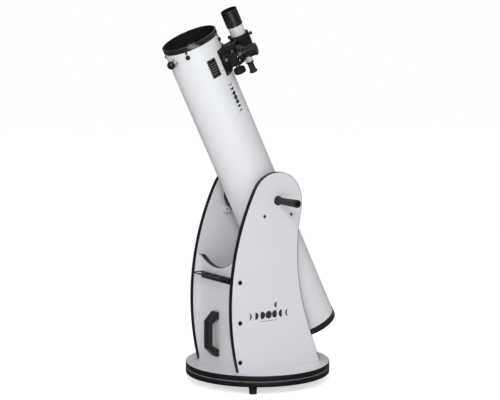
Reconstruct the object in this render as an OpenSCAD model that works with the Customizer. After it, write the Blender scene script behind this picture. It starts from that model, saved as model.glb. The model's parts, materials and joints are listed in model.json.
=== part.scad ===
// Newtonian reflecting telescope on a wooden rocker box (dobsonian).
// Origin: turning axis of the rocker box, at floor level. +Z is up, -Y is the
// front of the rocker box, where the tube points, and +X is the right side panel.

/* [Optical tube] */
// Outer diameter of the steel tube
tube_d = 186; // [184:1:188]
// Wall thickness of the steel tube
tube_wall = 1.2; // [1:0.1:1.4]
// Distance from the altitude axis to the open front end
front_reach = 605.3; // [600:0.1:612]
// Distance from the altitude axis to the rear end
rear_reach = 518.8; // [516:0.1:520]
// Angle of the tube above the horizon
altitude = 63.75; // [60:0.25:68]

/* [Rocker box] */
// Height of the altitude axis above the floor
axis_h = 637; // [632:1:642]
// Distance of the altitude axis in front of the turning axis
axis_forward = 6; // [4:1:8]
// Thickness of every board
board_t = 17; // [16:0.5:18]
// Clear width between the side panels
inner_w = 228; // [226:1:232]
// Thickness of the black edge strip
strip_t = 2; // [1.5:0.5:2.5]
// Height of the front board at its shoulders
front_board_h = 370; // [360:1:380]

/* [Round boards] */
// Diameter of both round boards with their edge strips
board_d = 498; // [490:1:506]
// Height of the feet
foot_h = 29.5; // [28:0.5:32]
// Gap between the two round boards
turn_gap = 3.5; // [3:0.5:4]
// Pitch circle diameter of the three feet
foot_pcd = 430; // [420:1:440]

/* [Focuser] */
// Distance of the focuser axis from the open front end
focuser_back = 106.8; // [104:0.1:110]
// Position angle of the focuser around the tube
focuser_angle = 45; // [43:1:47]
// Outer radius of the drawtube
draw_r = 25.4; // [25.4:0.1:25.8]
// Radius of the drive shaft that rolls on the drawtube
drive_r = 4; // [4:0.1:4.2]

/* [Finder] */
// Position angle of the finder around the tube
finder_angle = 80; // [79:1:82]
// Distance of the finder axis from the tube axis
finder_reach = 166; // [164:1:170]
// Outer radius of the finder tube
finder_r = 25.5; // [25:0.1:25.6]

/* [Eyepiece rack and handle] */
// Radius of the holes that hold spare eyepieces
rack_hole_r = 16.2; // [16:0.1:16.4]
// Distance between the holes of the eyepiece rack
rack_pitch = 48; // [46:1:50]
// How far the carrying handle stands out of the front board
handle_out = 42; // [38:1:46]

/* [Hidden] */
$fn = 96;

// Widest gap left between pieces that slide on each other
slide_gap = 0.05;
// Clearance between pieces that move past each other without touching
free_gap = 0.3;
// Clearance of a screw in its hole
screw_gap = 0.1;
// Length by which a cutting tool overshoots the piece it cuts
over = 1;

tube_r = tube_d / 2;
alt_y = -axis_forward;
ground_top = foot_h + board_t;
base_z = ground_top + turn_gap;
floor_z = base_z + board_t;
board_r = board_d / 2;
sole_r = 13;
foot_turns = [-38, 82, 202];
foot_screw_r = 2.5;
foot_screw_in = 12;
pad_turns = [22, 142, 262];
pad_pitch_r = 185;
pad_r = 16;
hex_r = 9.8;
bush_r = 8;
panel_in = inner_w / 2;
panel_out = panel_in + board_t;

// Side panel outline, seen along X: a long front arc, a round top and a hollow back
front_arc_r = 860;
front_arc_y = alt_y - 186 + front_arc_r;
front_arc_z = 283;
top_y = alt_y - 1;
top_z = axis_h - 3;
top_r = front_arc_r - norm([front_arc_y - top_y, front_arc_z - top_z]);
rear_arc_r = 700;
rear_arc_y = alt_y + 82 + rear_arc_r;
rear_arc_z = 455;
crown_z = rear_arc_z + 154;
flare_z = 214;
flare_y = alt_y + 124;
heel_y = alt_y + 177;
heel_slope = 0.367;
// Distance to corners that lie well outside the panel
far_off = 300;

// Front board
front_face_y = alt_y - 161;
front_back_y = front_face_y + board_t;
front_top_z = floor_z + front_board_h;
notch_half = 96;
notch_depth = 30;
notch_r = (notch_half * notch_half + notch_depth * notch_depth) / (2 * notch_depth);
notch_z = front_top_z - notch_depth + notch_r;
cap_bolt_z = [101, 235, 372];
cap_bolt_r = 3.5;

// Altitude bearings
bearing_r = 61.6;
bearing_out = panel_in - 2;
roller_r = 12;
roller_y = 54;
roller_w = 14;
roller_screw_r = 3;
roller_drop = sqrt(pow(bearing_r + roller_r + free_gap, 2) - roller_y * roller_y);
stud_r = 5;
stud_hole_r = 8;

// Stations along the tube, measured from the altitude axis towards the sky
front_edge = front_reach - 2.3;
rear_edge = -rear_reach + 2.3;
ring_t = 1.6;
front_ring_h = 17.3;
rear_ring_h = 22.3;
ring_screw_r = 3.2;
spider_s = front_reach - 36.5;
focuser_s = front_reach - focuser_back;
vane_angles = [45, 135, 225, 315];
lug_r = 2.5;
label_s = front_reach - 105;
label_angle = -4;

// Knob that steers the tube by hand: a ball on a collar
guide_s = front_reach - 42;
guide_angle = -77;
collar_r = 11;
collar_h = 11;
guide_bolt_r = 2.5;
guide_stem_r = 4;
guide_stem_h = 16;
ball_r = 14;
ball_h = 22;

// Flat diagonal mirror
diagonal_t = 8;

// Primary mirror and its cell
mirror_r = 76;
mirror_t = 20;
mirror_s = -478;
cell_s = mirror_s - mirror_t;
cell_t = 5;
frame_s = -511;
frame_t = 5;
knob_pitch_r = 60;
knob_shank_r = 3;
knob_angles = [90, 210, 330];

// Focuser, in its own frame: +X away from the tube, +Z towards the sky
saddle_half = 42;
saddle_end = 44.5;
saddle_t = 4;
saddle_screw_turn = 21.5;
saddle_screw_z = 37;
light_r = 27;
housing_low = 99;
focus_shaft_u = 127;
focus_shaft_t = -(draw_r + 0.5 + slide_gap + drive_r);
housing_r = 34;
housing_top = 136;
flange_u = 138;
adapter_u = 146;
eyepiece_u = 156;
barrel_r = 15.875;
draw_wall = 2.4;
draw_inner_end = 80;
shaft_half = 52;
lock_r = 2.5;
lock_head_r = 5;
focus_lock_u = 104;
focus_lock_z = 8;
eyepiece_lock_u = adapter_u + 4.5;
eyepiece_lock_turn = -14;
second_lock_u = flange_u + 4;
second_lock_turn = 16;

// Finder
finder_tail_r = 14;
shade_s = front_reach - 35;
finder_front = front_reach + 21.5;
finder_rear = front_reach - 209;
seat_s = front_reach - 115;
screw_s = seat_s + 40;
screw_a_angle = 35;
screw_b_angle = screw_a_angle - 90;
plunger_angle = 195;
finder_screw_r = 2;
finder_ring_r = 34;
shoe_s = seat_s + 18;

// ---------- Helpers ----------

// Frame of the optical tube: +Z points at the sky, +X stays along the altitude axis
module along_tube() {
  translate([0, alt_y, axis_h]) rotate([90 - altitude, 0, 0]) children();
}

// Place on the tube: +X points outward at the given position angle
module on_tube(angle, reach, station) {
  along_tube() rotate([0, 0, angle]) translate([reach, 0, station]) children();
}

// Frame of the focuser, with its origin on the tube axis
module at_focuser() {
  on_tube(focuser_angle, 0, focuser_s) children();
}

// Frame of the finder: origin on its axis beside the altitude axis
module at_finder() {
  on_tube(finder_angle, finder_reach, 0) rotate([0, 0, -finder_angle]) children();
}

// Round bar along +X
module bar_x(r, from, to) {
  translate([from, 0, 0]) rotate([0, 90, 0]) cylinder(r = r, h = to - from);
}

// Round bar along -Y
module bar_back_y(r, from, to) {
  translate([0, -from, 0]) rotate([90, 0, 0]) cylinder(r = r, h = to - from);
}

// Pipe along +Z
module pipe(outer, inner, from, to) {
  difference() {
    translate([0, 0, from]) cylinder(r = outer, h = to - from);
    translate([0, 0, from - over]) cylinder(r = inner, h = to - from + 2 * over);
  }
}

// Mirror image across the plane between the side panels
module left_of() {
  mirror([1, 0, 0]) children();
}

// The altitude axis, as the origin of its children
module at_altitude_axis() {
  translate([0, alt_y, axis_h]) children();
}

// Knurled or plain thumbscrew along -Y: tip, shank radius, head radius and head span
module thumbscrew(tip, shank_r, head_r, head_from, head_to) {
  bar_back_y(shank_r, tip, head_from);
  bar_back_y(head_r, head_from, head_to);
}

// ---------- Ground board ----------

module foot_places() {
  for (turn = foot_turns) rotate([0, 0, turn]) translate([foot_pcd / 2, 0, 0]) children();
}

module ground_board() {
  color("white") difference() {
    translate([0, 0, foot_h]) cylinder(r = board_r - strip_t, h = board_t, $fn = 180);
    translate([0, 0, foot_h - over]) cylinder(r = stud_r + slide_gap, h = board_t + 2 * over);
    foot_places() translate([0, 0, foot_h - over])
      cylinder(r = foot_screw_r + screw_gap, h = foot_screw_in + 2 * over);
  }
}

module ground_strip() {
  color("black") pipe(board_r, board_r - strip_t, foot_h, ground_top, $fn = 180);
}

// Screw moulded into a foot, wider by the given gap: the pocket it leaves
module foot_screw(gap) {
  head_z = 14;
  translate([0, 0, head_z]) cylinder(r = 4.8 + gap, h = 3);
  translate([0, 0, head_z]) cylinder(r = foot_screw_r + gap, h = foot_h + foot_screw_in - head_z);
}

module feet() {
  sole_h = 10;
  color("black") foot_places() difference() {
    union() {
      cylinder(r = sole_r, h = sole_h);
      translate([0, 0, sole_h]) cylinder(r1 = sole_r, r2 = sole_r + 2.5, h = foot_h - sole_h);
    }
    foot_screw(slide_gap);
  }
}

module foot_screws() {
  color("silver") foot_places() foot_screw(0);
}

module azimuth_pads() {
  color("ivory") for (turn = pad_turns)
    rotate([0, 0, turn]) translate([pad_pitch_r, 0, ground_top]) cylinder(r = pad_r, h = turn_gap - free_gap);
}

module pivot_bolt() {
  head_h = 6.4;
  bolt_top = floor_z + 13;
  color("silver") {
    translate([0, 0, foot_h - head_h]) cylinder(r = hex_r, h = head_h, $fn = 6);
    translate([0, 0, foot_h - head_h / 2]) cylinder(r = stud_r, h = bolt_top - foot_h + head_h / 2);
  }
}

module pivot_nut() {
  washer_h = 2;
  washer_z = floor_z + free_gap;
  color("silver") difference() {
    union() {
      translate([0, 0, washer_z]) cylinder(r = 15, h = washer_h);
      translate([0, 0, washer_z + washer_h]) cylinder(r = hex_r, h = 8, $fn = 6);
    }
    translate([0, 0, washer_z - over]) cylinder(r = stud_r + slide_gap, h = 20);
  }
}

// ---------- Rocker box ----------

module base_disc() {
  color("white") difference() {
    translate([0, 0, base_z]) cylinder(r = board_r - strip_t, h = board_t, $fn = 180);
    translate([0, 0, base_z - over]) cylinder(r = bush_r, h = board_t + 2 * over);
  }
}

module base_strip() {
  color("black") pipe(board_r, board_r - strip_t, base_z, floor_z, $fn = 180);
}

module pivot_bush() {
  color("ivory") pipe(bush_r, stud_r + slide_gap, base_z, floor_z);
}

// Outline of a side panel in (y, z), shrunk on every edge but the bottom one
module panel_outline(shrink, bottom) {
  ray = [top_y - front_arc_y, top_z - front_arc_z] / norm([top_y - front_arc_y, top_z - front_arc_z]);
  crown_y = top_y + top_r;
  translate([top_y, top_z]) circle(r = top_r - shrink, $fn = 180);
  difference() {
    intersection() {
      translate([front_arc_y, front_arc_z]) circle(r = front_arc_r - shrink, $fn = 720);
      polygon([
        [alt_y - far_off, bottom],
        [heel_y - shrink + (floor_z - bottom) * heel_slope, bottom],
        [flare_y - shrink, flare_z],
        [flare_y, rear_arc_z + 100],
        [crown_y - shrink, crown_z],
        [crown_y - shrink, top_z],
        [top_y, top_z],
        [top_y, top_z] + ray * (top_r + 60),
        [alt_y - far_off, top_z + 50]
      ]);
    }
    translate([rear_arc_y, rear_arc_z]) circle(r = rear_arc_r + shrink, $fn = 720);
  }
}

module panel_slab(shrink, bottom, from, to) {
  translate([from, 0, 0]) rotate([90, 0, 90]) linear_extrude(to - from) panel_outline(shrink, bottom);
}

module cap_bolt_places() {
  for (z = cap_bolt_z) translate([0, front_face_y + board_t / 2, z]) children();
}

module roller_places() {
  for (side = [-1, 1]) translate([0, alt_y + side * roller_y, axis_h - roller_drop]) children();
}

module side_panel() {
  difference() {
    panel_slab(strip_t, floor_z, panel_in, panel_out);
    at_altitude_axis() bar_x(stud_hole_r, panel_in - over, panel_out + over);
    cap_bolt_places() bar_x(cap_bolt_r + screw_gap, panel_in - over, panel_out + over);
    roller_places() bar_x(roller_screw_r + screw_gap, panel_in - over, panel_out + over);
  }
}

module panel_strip() {
  difference() {
    panel_slab(0, floor_z, panel_in, panel_out);
    panel_slab(strip_t, floor_z - over, panel_in - over, panel_out + over);
  }
}

module side_panel_left() {
  color("white") left_of() side_panel();
}

module side_panel_right() {
  color("white") side_panel();
}

module panel_strip_left() {
  color("black") left_of() panel_strip();
}

module panel_strip_right() {
  color("black") panel_strip();
}

// Front board outline in (x, z), lowered along its top edge
module front_outline(lower, bottom) {
  difference() {
    translate([-panel_in, bottom]) square([2 * panel_in, front_top_z - lower - bottom]);
    translate([0, notch_z]) circle(r = notch_r + lower, $fn = 360);
  }
}

module front_slab(lower, bottom, face_y, thick) {
  translate([0, face_y + thick, 0]) rotate([90, 0, 0]) linear_extrude(thick) front_outline(lower, bottom);
}

module front_board() {
  color("white") difference() {
    front_slab(strip_t, floor_z, front_face_y, board_t);
    for (side = [0, 1]) mirror([side, 0, 0])
      cap_bolt_places() bar_x(cap_bolt_r + screw_gap, panel_in - 30, panel_in + over);
  }
}

module front_strip() {
  color("black") difference() {
    front_slab(0, floor_z, front_face_y, board_t);
    front_slab(strip_t, floor_z - over, front_face_y - over, board_t + 2 * over);
  }
}

module cap_bolts() {
  head_r = 7.5;
  color("black") for (side = [0, 1]) mirror([side, 0, 0]) cap_bolt_places() difference() {
    union() {
      bar_x(head_r, panel_out, panel_out + 3);
      bar_x(cap_bolt_r, panel_in - 28, panel_out + over);
    }
    translate([panel_out + 1.2, 0, 0]) rotate([0, 90, 0]) cylinder(r = 3.4, h = 3, $fn = 6);
  }
}

module carry_handle() {
  low = 102;
  high = 256;
  width = 33;
  foot = 27;
  bend = 30;
  thick = 16;
  out = front_face_y - handle_out;
  color("dimgray") translate([-width / 2, 0, 0]) rotate([90, 0, 90]) linear_extrude(width) difference() {
    polygon([
      [front_face_y, low],
      [front_face_y - 12, low],
      [out, low + bend],
      [out, high - bend],
      [front_face_y - 12, high],
      [front_face_y, high]
    ]);
    polygon([
      [front_face_y + over, low + foot],
      [front_face_y - 9, low + foot],
      [out + thick, low + foot + 14],
      [out + thick, high - foot - 14],
      [front_face_y - 9, high - foot],
      [front_face_y + over, high - foot]
    ]);
  }
}

module eyepiece_rack() {
  shelf_z = 380;
  sheet = 3;
  depth = 43;
  half = 94;
  corner = 8;
  flange_h = 20;
  hole_back = 23;
  color("black") difference() {
    union() {
      translate([-half, front_face_y - depth + corner, shelf_z]) cube([2 * half, depth - corner, sheet]);
      translate([-half + corner, front_face_y - depth, shelf_z]) cube([2 * half - 2 * corner, depth, sheet]);
      for (side = [-1, 1]) translate([side * (half - corner), front_face_y - depth + corner, shelf_z])
        cylinder(r = corner, h = sheet);
      translate([-half, front_face_y - sheet, shelf_z - flange_h]) cube([2 * half, sheet, flange_h + sheet]);
    }
    for (place = [-1.5, -0.5, 0.5, 1.5])
      translate([place * rack_pitch, front_face_y - hole_back, shelf_z - over])
        cylinder(r = rack_hole_r, h = sheet + 2 * over);
  }
}

module altitude_rollers() {
  color("ivory") for (side = [0, 1]) mirror([side, 0, 0]) roller_places() difference() {
    bar_x(roller_r, bearing_out - roller_w, panel_in);
    bar_x(roller_screw_r + screw_gap, bearing_out - roller_w - over, panel_in + over);
  }
}

module roller_screws() {
  color("silver") for (side = [0, 1]) mirror([side, 0, 0]) roller_places() {
    bar_x(5.5, panel_out, panel_out + 2.5);
    bar_x(roller_screw_r, bearing_out - roller_w - 0.4, panel_out + over);
  }
}

// ---------- Optical tube ----------

module tube() {
  color("white") along_tube() difference() {
    translate([0, 0, rear_edge]) cylinder(r = tube_r, h = front_edge - rear_edge, $fn = 180);
    translate([0, 0, rear_edge - over])
      cylinder(r = tube_r - tube_wall, h = front_edge - rear_edge + 2 * over, $fn = 180);
    rotate([0, 0, focuser_angle]) translate([0, 0, focuser_s]) bar_x(light_r, tube_r / 2, tube_r + over);
    for (turn = vane_angles)
      rotate([0, 0, turn]) translate([0, 0, spider_s]) bar_x(lug_r + screw_gap, tube_r / 2, tube_r + over);
    rotate([0, 0, guide_angle]) translate([0, 0, guide_s])
      bar_x(guide_bolt_r + screw_gap, tube_r / 2, tube_r + over);
    for (side = [0, 180])
      rotate([0, 0, side]) bar_x(stud_r + over, tube_r / 2, tube_r + over);
  }
}

module front_ring() {
  rim = front_reach - 1.4;
  color("black") along_tube() rotate_extrude($fn = 180) polygon([
    [tube_r, front_reach - front_ring_h],
    [tube_r + ring_t, front_reach - front_ring_h],
    [tube_r + ring_t, rim],
    [tube_r + ring_t - 0.6, front_reach - 0.3],
    [tube_r + ring_t - 1.6, front_reach],
    [tube_r - 2, front_reach],
    [tube_r - 3, rim],
    [tube_r - 3, front_edge],
    [tube_r, front_edge]
  ]);
}

module rear_ring() {
  rim = -rear_reach + 1.4;
  color("black") along_tube() rotate_extrude($fn = 180) polygon([
    [tube_r, -rear_reach + rear_ring_h],
    [tube_r, rear_edge],
    [tube_r - 8, rear_edge],
    [tube_r - 8, -rear_reach],
    [tube_r + ring_t - 1.6, -rear_reach],
    [tube_r + ring_t - 0.6, -rear_reach + 0.3],
    [tube_r + ring_t, rim],
    [tube_r + ring_t, -rear_reach + rear_ring_h]
  ]);
}

module bearing() {
  difference() {
    at_altitude_axis() union() {
      bar_x(bearing_r, tube_r / 2, bearing_out - 4);
      bar_x(bearing_r - 5, bearing_out - 5, bearing_out);
    }
    along_tube() translate([0, 0, -bearing_r - 10]) cylinder(r = tube_r, h = 2 * bearing_r + 20, $fn = 180);
    at_altitude_axis() bar_x(stud_r + slide_gap, tube_r / 2, panel_out);
  }
}

module bearing_left() {
  color("black") left_of() bearing();
}

module bearing_right() {
  color("black") bearing();
}

module spider() {
  hub_r = 13;
  hub_h = 26;
  vane_h = 20;
  vane_t = 1.2;
  color("black") along_tube() translate([0, 0, spider_s]) difference() {
    union() {
      translate([0, 0, -hub_h / 2]) cylinder(r = hub_r, h = hub_h);
      for (turn = vane_angles) rotate([0, 0, turn]) {
        translate([hub_r - over, -vane_t / 2, -vane_h / 2])
          cube([tube_r - tube_wall - hub_r - 2, vane_t, vane_h]);
        bar_x(lug_r, tube_r - 12, tube_r + 6);
      }
    }
    translate([0, 0, -hub_h]) cylinder(r = 3.1, h = 2 * hub_h);
  }
}

module spider_nuts() {
  color("black") for (turn = vane_angles) on_tube(turn, 0, spider_s) difference() {
    union() {
      bar_x(7.5, tube_r + 0.3, tube_r + 4.6);
      bar_x(5, tube_r + 4, tube_r + 7);
    }
    bar_x(lug_r + slide_gap, tube_r - over, tube_r + 6.2);
  }
}

// Slanted block, its lower face on the focuser axis, cut back by a height
module slanted_block(low, high) {
  reach = 60;
  rotate([0, 45, 0]) translate([-reach, -reach / 2, low]) cube([2 * reach, reach, high - low]);
}

module secondary_holder() {
  rod_low = 40;
  rod_top = spider_s - focuser_s + 20;
  color("black") at_focuser() {
    difference() {
      translate([0, 0, 2]) cylinder(r = 21, h = 44);
      slanted_block(-60, diagonal_t + 0.2);
    }
    translate([0, 0, rod_low]) cylinder(r = 3, h = rod_top - rod_low);
  }
}

module secondary_mirror() {
  color("lightgray") at_focuser() intersection() {
    translate([0, 0, -50]) cylinder(r = 22.5, h = 100);
    slanted_block(0, diagonal_t);
  }
}

module primary_mirror() {
  sphere_r = 2400;
  steps = 8;
  reaches = [for (i = [0 : steps]) mirror_r * i / steps];
  bowl = [for (reach = reaches) [reach, mirror_s - (pow(mirror_r, 2) - pow(reach, 2)) / (2 * sphere_r)]];
  color("lightgray") along_tube() rotate_extrude($fn = 180)
    polygon(concat(bowl, [[mirror_r, cell_s], [0, cell_s]]));
}

module mirror_cell() {
  clip_in = mirror_r + 0.2;
  color("black") along_tube() difference() {
    union() {
      translate([0, 0, cell_s - cell_t]) cylinder(r = 82, h = cell_t);
      for (turn = knob_angles) rotate([0, 0, turn + 60]) {
        translate([clip_in, -8, cell_s - cell_t]) cube([4, 16, mirror_t + cell_t + 3.2]);
        translate([clip_in - 8, -8, mirror_s + 0.2]) cube([12, 16, 3]);
      }
    }
    for (turn = knob_angles) rotate([0, 0, turn]) translate([knob_pitch_r, 0, cell_s - cell_t - over])
      cylinder(r = knob_shank_r + slide_gap, h = cell_t);
  }
}

module cell_frame() {
  color("black") along_tube() difference() {
    union() {
      pipe(tube_r - tube_wall - 0.1, 80, frame_s - frame_t, frame_s, $fn = 180);
      for (turn = knob_angles) rotate([0, 0, turn])
        translate([0, -10, frame_s - frame_t]) cube([84, 20, frame_t]);
      translate([0, 0, frame_s - frame_t]) cylinder(r = 22, h = frame_t);
    }
    for (turn = knob_angles) rotate([0, 0, turn]) translate([knob_pitch_r, 0, frame_s - frame_t - over])
      cylinder(r = knob_shank_r + slide_gap, h = frame_t + 2 * over);
  }
}

module ring_screws() {
  color("black") {
    for (turn = vane_angles) on_tube(turn, 0, front_reach - 21) bar_x(ring_screw_r, tube_r, tube_r + 1.6);
    for (turn = [30 : 60 : 330]) on_tube(turn, 0, -rear_reach + 11)
      bar_x(ring_screw_r, tube_r + ring_t, tube_r + ring_t + 1.4);
  }
}

module guide_stem() {
  color("silver") on_tube(guide_angle, 0, guide_s) {
    bar_x(guide_bolt_r, tube_r - 4, tube_r + over);
    bar_x(collar_r, tube_r + 0.3, tube_r + collar_h);
    bar_x(guide_stem_r, tube_r + 3, tube_r + guide_stem_h);
  }
}

module guide_knob() {
  color("black") on_tube(guide_angle, 0, guide_s) difference() {
    translate([tube_r + ball_h, 0, 0]) rotate([0, 90, 0]) sphere(r = ball_r);
    bar_x(guide_stem_r + slide_gap, tube_r, tube_r + guide_stem_h + 0.1);
    bar_x(20, tube_r - 4, tube_r + collar_h);
  }
}

module label_plate() {
  half_w = 16.5;
  half_h = 32;
  color("black") on_tube(label_angle, 0, label_s) intersection() {
    pipe(tube_r + 0.6, tube_r, -half_h, half_h, $fn = 180);
    translate([tube_r - 10, -half_w, -half_h - over]) cube([20, 2 * half_w, 2 * half_h + 2 * over]);
  }
}

// ---------- Focuser ----------

module plate_screw_places() {
  for (side = [-1, 1], level = [-1, 1])
    rotate([0, 0, side * saddle_screw_turn]) translate([0, 0, level * saddle_screw_z]) children();
}

module focuser_base() {
  color("black") at_focuser() difference() {
    union() {
      intersection() {
        pipe(tube_r + saddle_t, tube_r, -saddle_end, saddle_end, $fn = 180);
        translate([tube_r / 2, -saddle_half, -45]) cube([tube_r, 2 * saddle_half, 90]);
      }
      difference() {
        bar_x(37, tube_r / 2, housing_low);
        translate([0, 0, -50]) cylinder(r = tube_r + 2, h = 100, $fn = 180);
      }
    }
    bar_x(light_r, tube_r / 2, housing_low + 11);
    plate_screw_places() bar_x(2.1, tube_r - over, tube_r + 6);
  }
}

module focuser_screws() {
  color("silver") at_focuser() plate_screw_places() {
    bar_x(3.6, tube_r + saddle_t + 0.1, tube_r + saddle_t + 2);
    bar_x(2, tube_r + 0.2, tube_r + saddle_t + over);
  }
}

module focuser_body() {
  block_low = 110;
  block_half = 24;
  block_side = 41;
  color("black") at_focuser() difference() {
    union() {
      bar_x(housing_r, housing_low, housing_top);
      translate([block_low, -block_side, -block_half])
        cube([housing_top - block_low, block_side - 10, 2 * block_half]);
    }
    bar_x(draw_r + slide_gap, housing_low - over, housing_top + over);
    translate([housing_low - over, -draw_r - 0.9, -4.5]) cube([housing_top - housing_low + 2 * over, 6, 9]);
    translate([focus_shaft_u, focus_shaft_t, -block_half - over])
      cylinder(r = drive_r + slide_gap, h = 2 * block_half + 2 * over);
    translate([focus_lock_u, 0, focus_lock_z])
      bar_back_y(lock_r + slide_gap, draw_r - over, block_side + over);
  }
}

module focus_shaft() {
  color("silver") at_focuser() translate([focus_shaft_u, focus_shaft_t, -shaft_half])
    cylinder(r = drive_r, h = 2 * shaft_half);
}

module focus_knobs() {
  knob_r = 20;
  near = 35;
  far = 53;
  color("black") at_focuser() translate([focus_shaft_u, focus_shaft_t, 0])
    for (side = [0, 1]) mirror([0, 0, side]) difference() {
      rotate_extrude() polygon([
        [0, near - 6],
        [9, near - 6],
        [9, near],
        [knob_r - 1, near],
        [knob_r, near + 1.5],
        [knob_r, far - 2],
        [knob_r - 2, far],
        [12, far],
        [11, far - 1],
        [0, far - 1]
      ]);
      translate([0, 0, near - 7]) cylinder(r = drive_r + 0.02, h = shaft_half + 0.02 - near + 7);
    }
}

module drawtube() {
  color("silver") at_focuser() difference() {
    union() {
      bar_x(draw_r, draw_inner_end, flange_u + over);
      translate([draw_inner_end, -draw_r - 0.5, -4]) cube([flange_u - draw_inner_end, 4, 8]);
      rotate([0, 90, 0]) rotate_extrude() polygon([
        [0, flange_u],
        [29, flange_u],
        [30, flange_u + 1],
        [30, adapter_u - 1.5],
        [28.5, adapter_u],
        [0, adapter_u]
      ]);
    }
    bar_x(draw_r - draw_wall, draw_inner_end - over, adapter_u + over);
    rotate([second_lock_turn, 0, 0]) translate([second_lock_u, 0, 0]) bar_back_y(2.05, draw_r - 4, 31);
  }
}

module eyepiece_adapter() {
  color("black") at_focuser() difference() {
    union() {
      bar_x(draw_r - draw_wall - screw_gap, flange_u - 4, adapter_u + over);
      rotate([0, 90, 0]) rotate_extrude() polygon([
        [0, adapter_u + 0.05],
        [26, adapter_u + 0.05],
        [26.5, adapter_u + 1],
        [26.5, adapter_u + 5],
        [22, eyepiece_u - 0.5],
        [0, eyepiece_u - 0.5]
      ]);
    }
    bar_x(barrel_r + slide_gap, flange_u - 5, eyepiece_u + over);
    rotate([eyepiece_lock_turn, 0, 0]) translate([eyepiece_lock_u, 0, 0])
      bar_back_y(lock_r + slide_gap, barrel_r - 2, 30);
  }
}

module eyepiece() {
  barrel_low = 132;
  color("black") at_focuser() difference() {
    rotate([0, 90, 0]) rotate_extrude() polygon([
      [0, barrel_low],
      [barrel_r, barrel_low],
      [barrel_r, eyepiece_u],
      [18, eyepiece_u],
      [18.5, eyepiece_u + 1],
      [18.5, eyepiece_u + 13],
      [20, eyepiece_u + 15],
      [20, eyepiece_u + 34],
      [21, eyepiece_u + 36],
      [21, eyepiece_u + 42],
      [19, eyepiece_u + 44],
      [13, eyepiece_u + 44],
      [10, eyepiece_u + 40],
      [0, eyepiece_u + 40]
    ]);
    bar_x(13.5, barrel_low - over, eyepiece_u + 24);
  }
}

module eyepiece_lock() {
  color("silver") at_focuser() rotate([eyepiece_lock_turn, 0, 0]) translate([eyepiece_lock_u, 0, 0])
    thumbscrew(barrel_r + free_gap, lock_r, lock_head_r, 29.5, 41);
}

module focus_lock() {
  color("silver") at_focuser() translate([focus_lock_u, 0, focus_lock_z])
    thumbscrew(draw_r + free_gap, lock_r, lock_head_r, housing_r + 2, 50);
}

// ---------- Collimation ----------

module collimation_knob(turn) {
  head_h = 13;
  on_tube(turn, knob_pitch_r, 0) {
    translate([0, 0, frame_s - 8]) cylinder(r = knob_shank_r, h = cell_s - frame_s + 6);
    translate([0, 0, frame_s - frame_t - free_gap - head_h]) cylinder(r = 9, h = head_h);
  }
}

module collimation_1() {
  color("silver") collimation_knob(knob_angles[0]);
}

module collimation_2() {
  color("silver") collimation_knob(knob_angles[1]);
}

module collimation_3() {
  color("silver") collimation_knob(knob_angles[2]);
}

// ---------- Tension handles ----------

module tension_handle() {
  from = panel_out + 0.4;
  to = panel_out + 116;
  at_altitude_axis() rotate([0, 90, 0]) difference() {
    union() {
      translate([0, 0, tube_r + 3]) cylinder(r = stud_r, h = from - tube_r);
      rotate_extrude() polygon([
        [0, from],
        [16, from],
        [16, from + 2.5],
        [12.5, from + 3.5],
        [11, from + 9],
        [11.5, from + 60],
        [13.5, to - 8],
        [13.5, to - 2],
        [12, to],
        [0, to]
      ]);
    }
    translate([0, 0, to - 14]) cylinder(r = 8.5, h = 15);
  }
}

module tension_left() {
  color("black") left_of() tension_handle();
}

module tension_right() {
  color("black") tension_handle();
}

// ---------- Finder ----------

module finder_shoe() {
  color("black") on_tube(finder_angle, 0, shoe_s) difference() {
    translate([tube_r / 2, -9, -25]) cube([tube_r / 2 + 8, 18, 50]);
    translate([0, 0, -30]) cylinder(r = tube_r, h = 60, $fn = 180);
  }
}

module finder_bracket() {
  ring_r = finder_ring_r;
  front = screw_s + 8;
  back = seat_s - 4;
  cone_h = 12;
  color("black") {
    difference() {
      union() {
        at_finder() {
          pipe(ring_r, ring_r - 4.5, back + cone_h, front);
          translate([0, 0, back]) cylinder(r1 = ring_r - 3, r2 = ring_r, h = cone_h);
          rotate([0, 0, plunger_angle]) translate([0, 0, screw_s]) bar_x(6, ring_r - 2, ring_r + 14);
        }
        on_tube(finder_angle, 0, shoe_s)
          translate([tube_r + 8, -6, -20]) cube([finder_reach - tube_r - 8 - ring_r + 4, 12, 40]);
      }
      at_finder() {
        translate([0, 0, back - over]) cylinder(r = finder_r + 1.7, h = cone_h + 2 * over);
        translate([0, 0, back + cone_h - over]) cylinder(r = ring_r - 4.5, h = 60);
        for (turn = [screw_a_angle, screw_b_angle])
          rotate([0, 0, turn]) translate([0, 0, screw_s])
            bar_x(finder_screw_r + slide_gap, ring_r - 8, ring_r + over);
      }
    }
  }
}

module finder_seat() {
  color("black") at_finder() pipe(finder_r + 1.4, finder_r + free_gap, seat_s - 1.5, seat_s + 1.5);
}

module finder_tube() {
  neck = seat_s - 28;
  color("white") at_finder() rotate_extrude() polygon([
    [finder_r - 1.5, shade_s],
    [finder_r, shade_s],
    [finder_r, seat_s - 8],
    [finder_tail_r, neck],
    [finder_tail_r, finder_rear + 41],
    [finder_tail_r - 1.5, finder_rear + 41],
    [finder_tail_r - 1.5, neck + 1],
    [finder_r - 1.5, seat_s - 7]
  ]);
}

module finder_shade() {
  color("black") at_finder() rotate_extrude() polygon([
    [finder_r - 3, shade_s],
    [finder_r + 2, shade_s],
    [finder_r + 2.5, shade_s + 1],
    [finder_r + 2.5, finder_front - 1],
    [finder_r + 2, finder_front],
    [finder_r + 0.5, finder_front],
    [finder_r + 0.5, shade_s + 12],
    [finder_r - 3, shade_s + 10]
  ]);
}

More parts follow.
